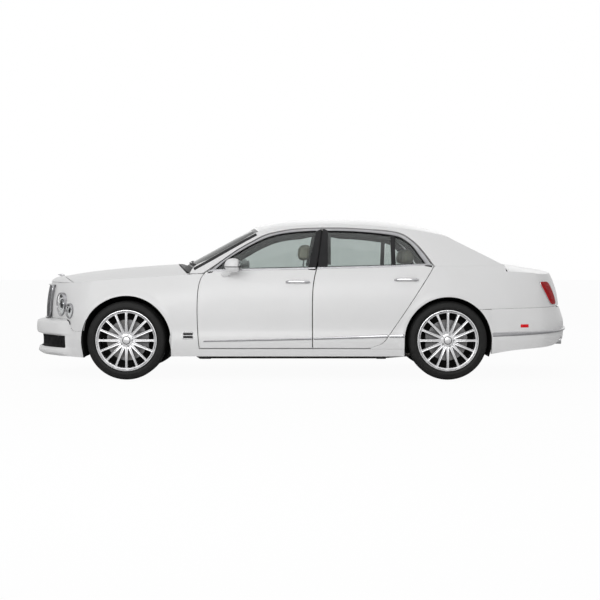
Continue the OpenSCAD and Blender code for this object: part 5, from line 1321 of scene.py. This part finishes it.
def sewn(part, at, way, lines, depth=7.0, width=9.0):
    """Presses channels into the face of a pad that looks against way: a bell curve across each line of y."""
    V = part[0].copy()
    way = np.asarray(way, float)
    face = ease(-((V - at) @ way) / 30)
    dip = np.max([np.exp(-((V[:, 1] - y) / width)**2) for y in lines], axis=0)
    return V + (depth * face * dip)[:, None] * way, part[1], part[2]


def pad(name, part, replaces=()):
    """A leather pad that rides with the body."""
    o = piece(name, part, CREAM, "body", replaces, crease=80)


def leaned(part, at, kx=0.0, kz=0.0):
    """Shears a part: x follows height by kx, height follows x by kz."""
    V = part[0].copy()
    d = V - at
    V[:, 0] += kx * d[:, 2]
    V[:, 2] += kz * d[:, 0]
    return V, part[1], part[2]


def seats():
    """Front seats and rear bench: cushions, backs and headrests as swollen pads with sewn channels."""
    c, b, h = np.array([-279.0, 395, 482]), np.array([8.0, 395, 806]), np.array([36.0, 395, 1244])
    cushion = sewn(swell(leaned(dome(c, (214, 238, 70), 0, 72, 36, 4.5), c, kz=-0.12), 24), c, (0, 0, -1),
                   (300, 350, 395, 440, 490))
    back = sewn(swell(leaned(dome(b, (52, 232, 300), 0, 72, 40, 4.2), b, kx=0.137), 24), b, (1, 0, 0),
                (300, 350, 395, 440, 490))
    head = swell(leaned(dome(h, (62, 120, 76), 0, 56, 36, 3.4), h, kx=0.1), 12, 6)
    for side, tag in ((RIGHT, "right"), (LEFT, "left")):
        pad("front_seat_cushion_" + tag, turned(cushion, side), replaces="front_seats" if side == RIGHT else ())
        pad("front_seat_back_" + tag, turned(back, side))
        pad("front_headrest_" + tag, turned(head, side))
    c, b, h = np.array([668.0, 297, 470]), np.array([1042.0, 297, 806]), np.array([1091.0, 390, 1204])
    cushion = sewn(swell(leaned(dome(c, (226, 284, 78), 0, 72, 36, 4.8), c, kz=-0.08), 24), c, (0, 0, -1),
                   (120, 210, 300, 390, 480))
    back = sewn(swell(leaned(dome(b, (62, 284, 268), 0, 72, 40, 4.6), b, kx=0.26), 24), b, (1, 0, 0),
                (120, 210, 300, 390, 480))
    head = swell(leaned(dome(h, (56, 112, 70), 0, 56, 36, 3.4), h, kx=0.15), 12, 6)
    for side, tag in ((RIGHT, "right"), (LEFT, "left")):
        pad("rear_seat_cushion_" + tag, turned(cushion, side), replaces="rear_seat" if side == RIGHT else ())
        pad("rear_seat_back_" + tag, turned(back, side))
        pad("rear_headrest_" + tag, turned(head, side))
    pad("rear_headrest_middle", (head[0] - [0, 390, 0], head[1], head[2]))
    bases = both(block((-440, 160, 242), (-10, 630, 420), 0, 12)) + [block((456, -590, 242), (850, 590, 400), 0, 12)]
    posts = []
    for x, z, y0, r in ((30.0, 1150.0, 395, 6), (1085.0, 1110.0, 390, 6), (1085.0, 1110.0, 0, 6)):
        for d in (-48, 48):
            post = lathe([[0.1, -50], [r, -50], [r, 60], [0.1, 60]], (x, y0 + d, z), 16, 1, axis=(0.12, 0, 1),
                         up=(1, 0, 0))
            posts += both(post) if y0 else [post]
    piece("seat_bases", bases + posts, [DARK_HIDE, SHADED_CHROME], "body")


def dash():
    """Dashboard: a rounded profile carried across the car, a veneer band with dials and vents, a console."""
    prof = np.array([[fx(706), 640], [fx(800), 616], [fx(880), 604], [fx(950), 650], [fx(984), 730], [fx(986), 830],
                     [fx(968), 920],
                     [fx(905), 978], [fx(800), 976], [fx(706), 968]])
    ring = through(np.vstack([prof, prof[:1]]), np.linspace(0, 1, 61))[:-1]
    y = np.linspace(-696, 696, 30)
    body = sweep(xyz(0, y, 0), np.tile([1.0, 0, 0], (30, 1)), np.tile([0, 0, 1.0], (30, 1)), ring)
    console = block((fx(862), -127, 393), (fx(1748), 127, 546), 0, 18)
    piece("dashboard_hide", [body, console], DARK_HIDE, "body", "dashboard")
    u, v = grid(60, 10)
    band_ = shell(xyz(fx(984) + 5 * np.sin(np.pi * v) + 2, mix(640, -640, u), mix(752, 856, v)), 6)
    lid = block((fx(1040), -104, 540), (fx(1700), 104, 558), 0, 8)
    piece("dashboard_veneer", [band_, lid], WOOD, "body")
    dials = []
    for y0, r in ((-440, 46), (-300, 46), (-60, 30), (0, 30), (60, 30), (-590, 34), (590, 34)):
        dials.append(lathe([[r - 5, -4], [r - 5, 4], [r - 2, 8], [r + 2, 8], [r + 4, 4], [r + 4, -4]],
                           (fx(989), y0, 804), 40, 0, axis=(1, 0, 0)))
        dials.append(lathe([[0.2, 2], [r - 5, 2], [r - 5, -3], [0.2, -3]][::-1], (fx(989), y0, 804), 40, 1,
                           axis=(1, 0, 0)))
    piece("dashboard_dials", dials, [CHROME, BLACK_GLOSS], "body")


def arch_liners():
    """Wheel arch liners: part of a drum round each wheel, and a wall behind it down to the underside."""
    parts = []
    for xw, r, y0, y1 in ((X_FA, ARCH_F + 4, 462, 922), (X_RA, ARCH_R + 4, 612, 930)):
        a, y = np.meshgrid(np.radians(np.linspace(-21.5, 201.5, 60)), np.linspace(y0, y1, 10))
        parts.append(shell(xyz(xw + r * np.cos(a), y, HUB_Z + r * np.sin(a)), 4, inner=0))
        u, z = np.meshgrid(np.linspace(-1, 1, 40), np.linspace(240, 350, 8))
        parts.append(shell(xyz(xw + u * np.sqrt(r * r - (z - HUB_Z)**2), y0, z), 4, inner=0))
    piece("arch_liner_sheets", [t for q in parts for t in both(q)], LINER, "body")


def set_camera():
    """Camera at the photograph's place: level with the belt, a little above, square to the left side."""
    cam = bpy.data.cameras.new("camera")
    cam.lens, cam.sensor_width, cam.clip_end = 74.46, 36.0, 200.0
    obj = bpy.data.objects.new("camera", cam)
    obj.location = (-0.0075, -13.0, 1.170)
    obj.rotation_euler = (math.radians(90 - 1.846), 0, 0)
    scene.collection.objects.link(obj)
    scene.camera = obj


def set_stage():
    """Pale floor that keeps the shadow, a white surround for the camera, soft light from above and the sides."""
    mesh = bpy.data.meshes.new("floor")
    mesh.from_pydata([(-60, -60, 0), (60, -60, 0), (60, 60, 0), (-60, 60, 0)], [], [(0, 1, 2, 3)])
    floor = bpy.data.objects.new("floor", mesh)
    scene.collection.objects.link(floor)
    m = bpy.data.materials.new("studio_floor")
    m.use_nodes = True
    nt = m.node_tree
    b = nt.nodes["Principled BSDF"]
    b.inputs["Base Color"].default_value = (0.82, 0.82, 0.82, 1)
    b.inputs["Roughness"].default_value = 0.9
    light, add, e, sh = (nt.nodes.new(k) for k in ("ShaderNodeLightPath", "ShaderNodeMath", "ShaderNodeEmission",
                                                   "ShaderNodeMixShader"))
    add.operation = "MULTIPLY"
    add.inputs[1].default_value = 0.955
    nt.links.new(light.outputs["Is Camera Ray"], add.inputs[0])
    nt.links.new(add.outputs[0], sh.inputs[0])
    nt.links.new(b.outputs[0], sh.inputs[1])
    nt.links.new(e.outputs[0], sh.inputs[2])
    nt.links.new(sh.outputs[0], nt.nodes["Material Output"].inputs["Surface"])
    mesh.materials.append(m)
    world = bpy.data.worlds.new("studio")
    scene.world = world
    world.use_nodes = True
    nt = world.node_tree
    bg = nt.nodes["Background"]
    bg.inputs["Color"].default_value = (1, 1, 1, 1)
    path, most, strength = (nt.nodes.new(k) for k in ("ShaderNodeLightPath", "ShaderNodeMath", "ShaderNodeMapRange"))
    most.operation = "MAXIMUM"
    more = nt.nodes.new("ShaderNodeMath")
    more.operation = "MAXIMUM"
    nt.links.new(path.outputs["Is Camera Ray"], most.inputs[0])
    nt.links.new(path.outputs["Is Transmission Ray"], most.inputs[1])
    nt.links.new(most.outputs[0], more.inputs[0])
    nt.links.new(path.outputs["Is Glossy Ray"], more.inputs[1])
    strength.inputs["To Min"].default_value, strength.inputs["To Max"].default_value = 0.46, 1.0
    nt.links.new(more.outputs[0], strength.inputs["Value"])
    nt.links.new(strength.outputs["Result"], bg.inputs["Strength"])
    for name, at, aim, size, power in (("top_light", (0, -1.0, 6.5), (0, 0, 0.6), (9, 5), 50),
                                       ("near_light", (-2.0, -8.5, 4.2), (0, 0, 0.7), (8, 3), 300),
                                       ("far_light", (2.0, 8.5, 4.0), (0, 0, 0.7), (8, 3), 70)):
        lamp = bpy.data.lights.new(name, "AREA")
        lamp.shape, lamp.size, lamp.size_y, lamp.energy = "RECTANGLE", size[0], size[1], power
        o = bpy.data.objects.new(name, lamp)
        d = np.array(aim, float) - at
        o.location = at
        o.rotation_euler = (math.acos(-d[2] / np.linalg.norm(d)), 0, math.atan2(d[1], d[0]) - math.pi / 2)
        scene.collection.objects.link(o)
    scene.view_settings.view_transform = "Standard"


set_camera()
set_stage()
seats()
dash()
arch_liners()
paint_panels()
sills()
doors()
mirrors()
screens()
lamps()
tail_lamps()
grilles()
wheel("fl", X_FA, Y_FW, LEFT)
wheel("fr", X_FA, Y_FW, RIGHT)
wheel("rl", X_RA, Y_RW, LEFT)
wheel("rr", X_RA, Y_RW, RIGHT)
body_trim()
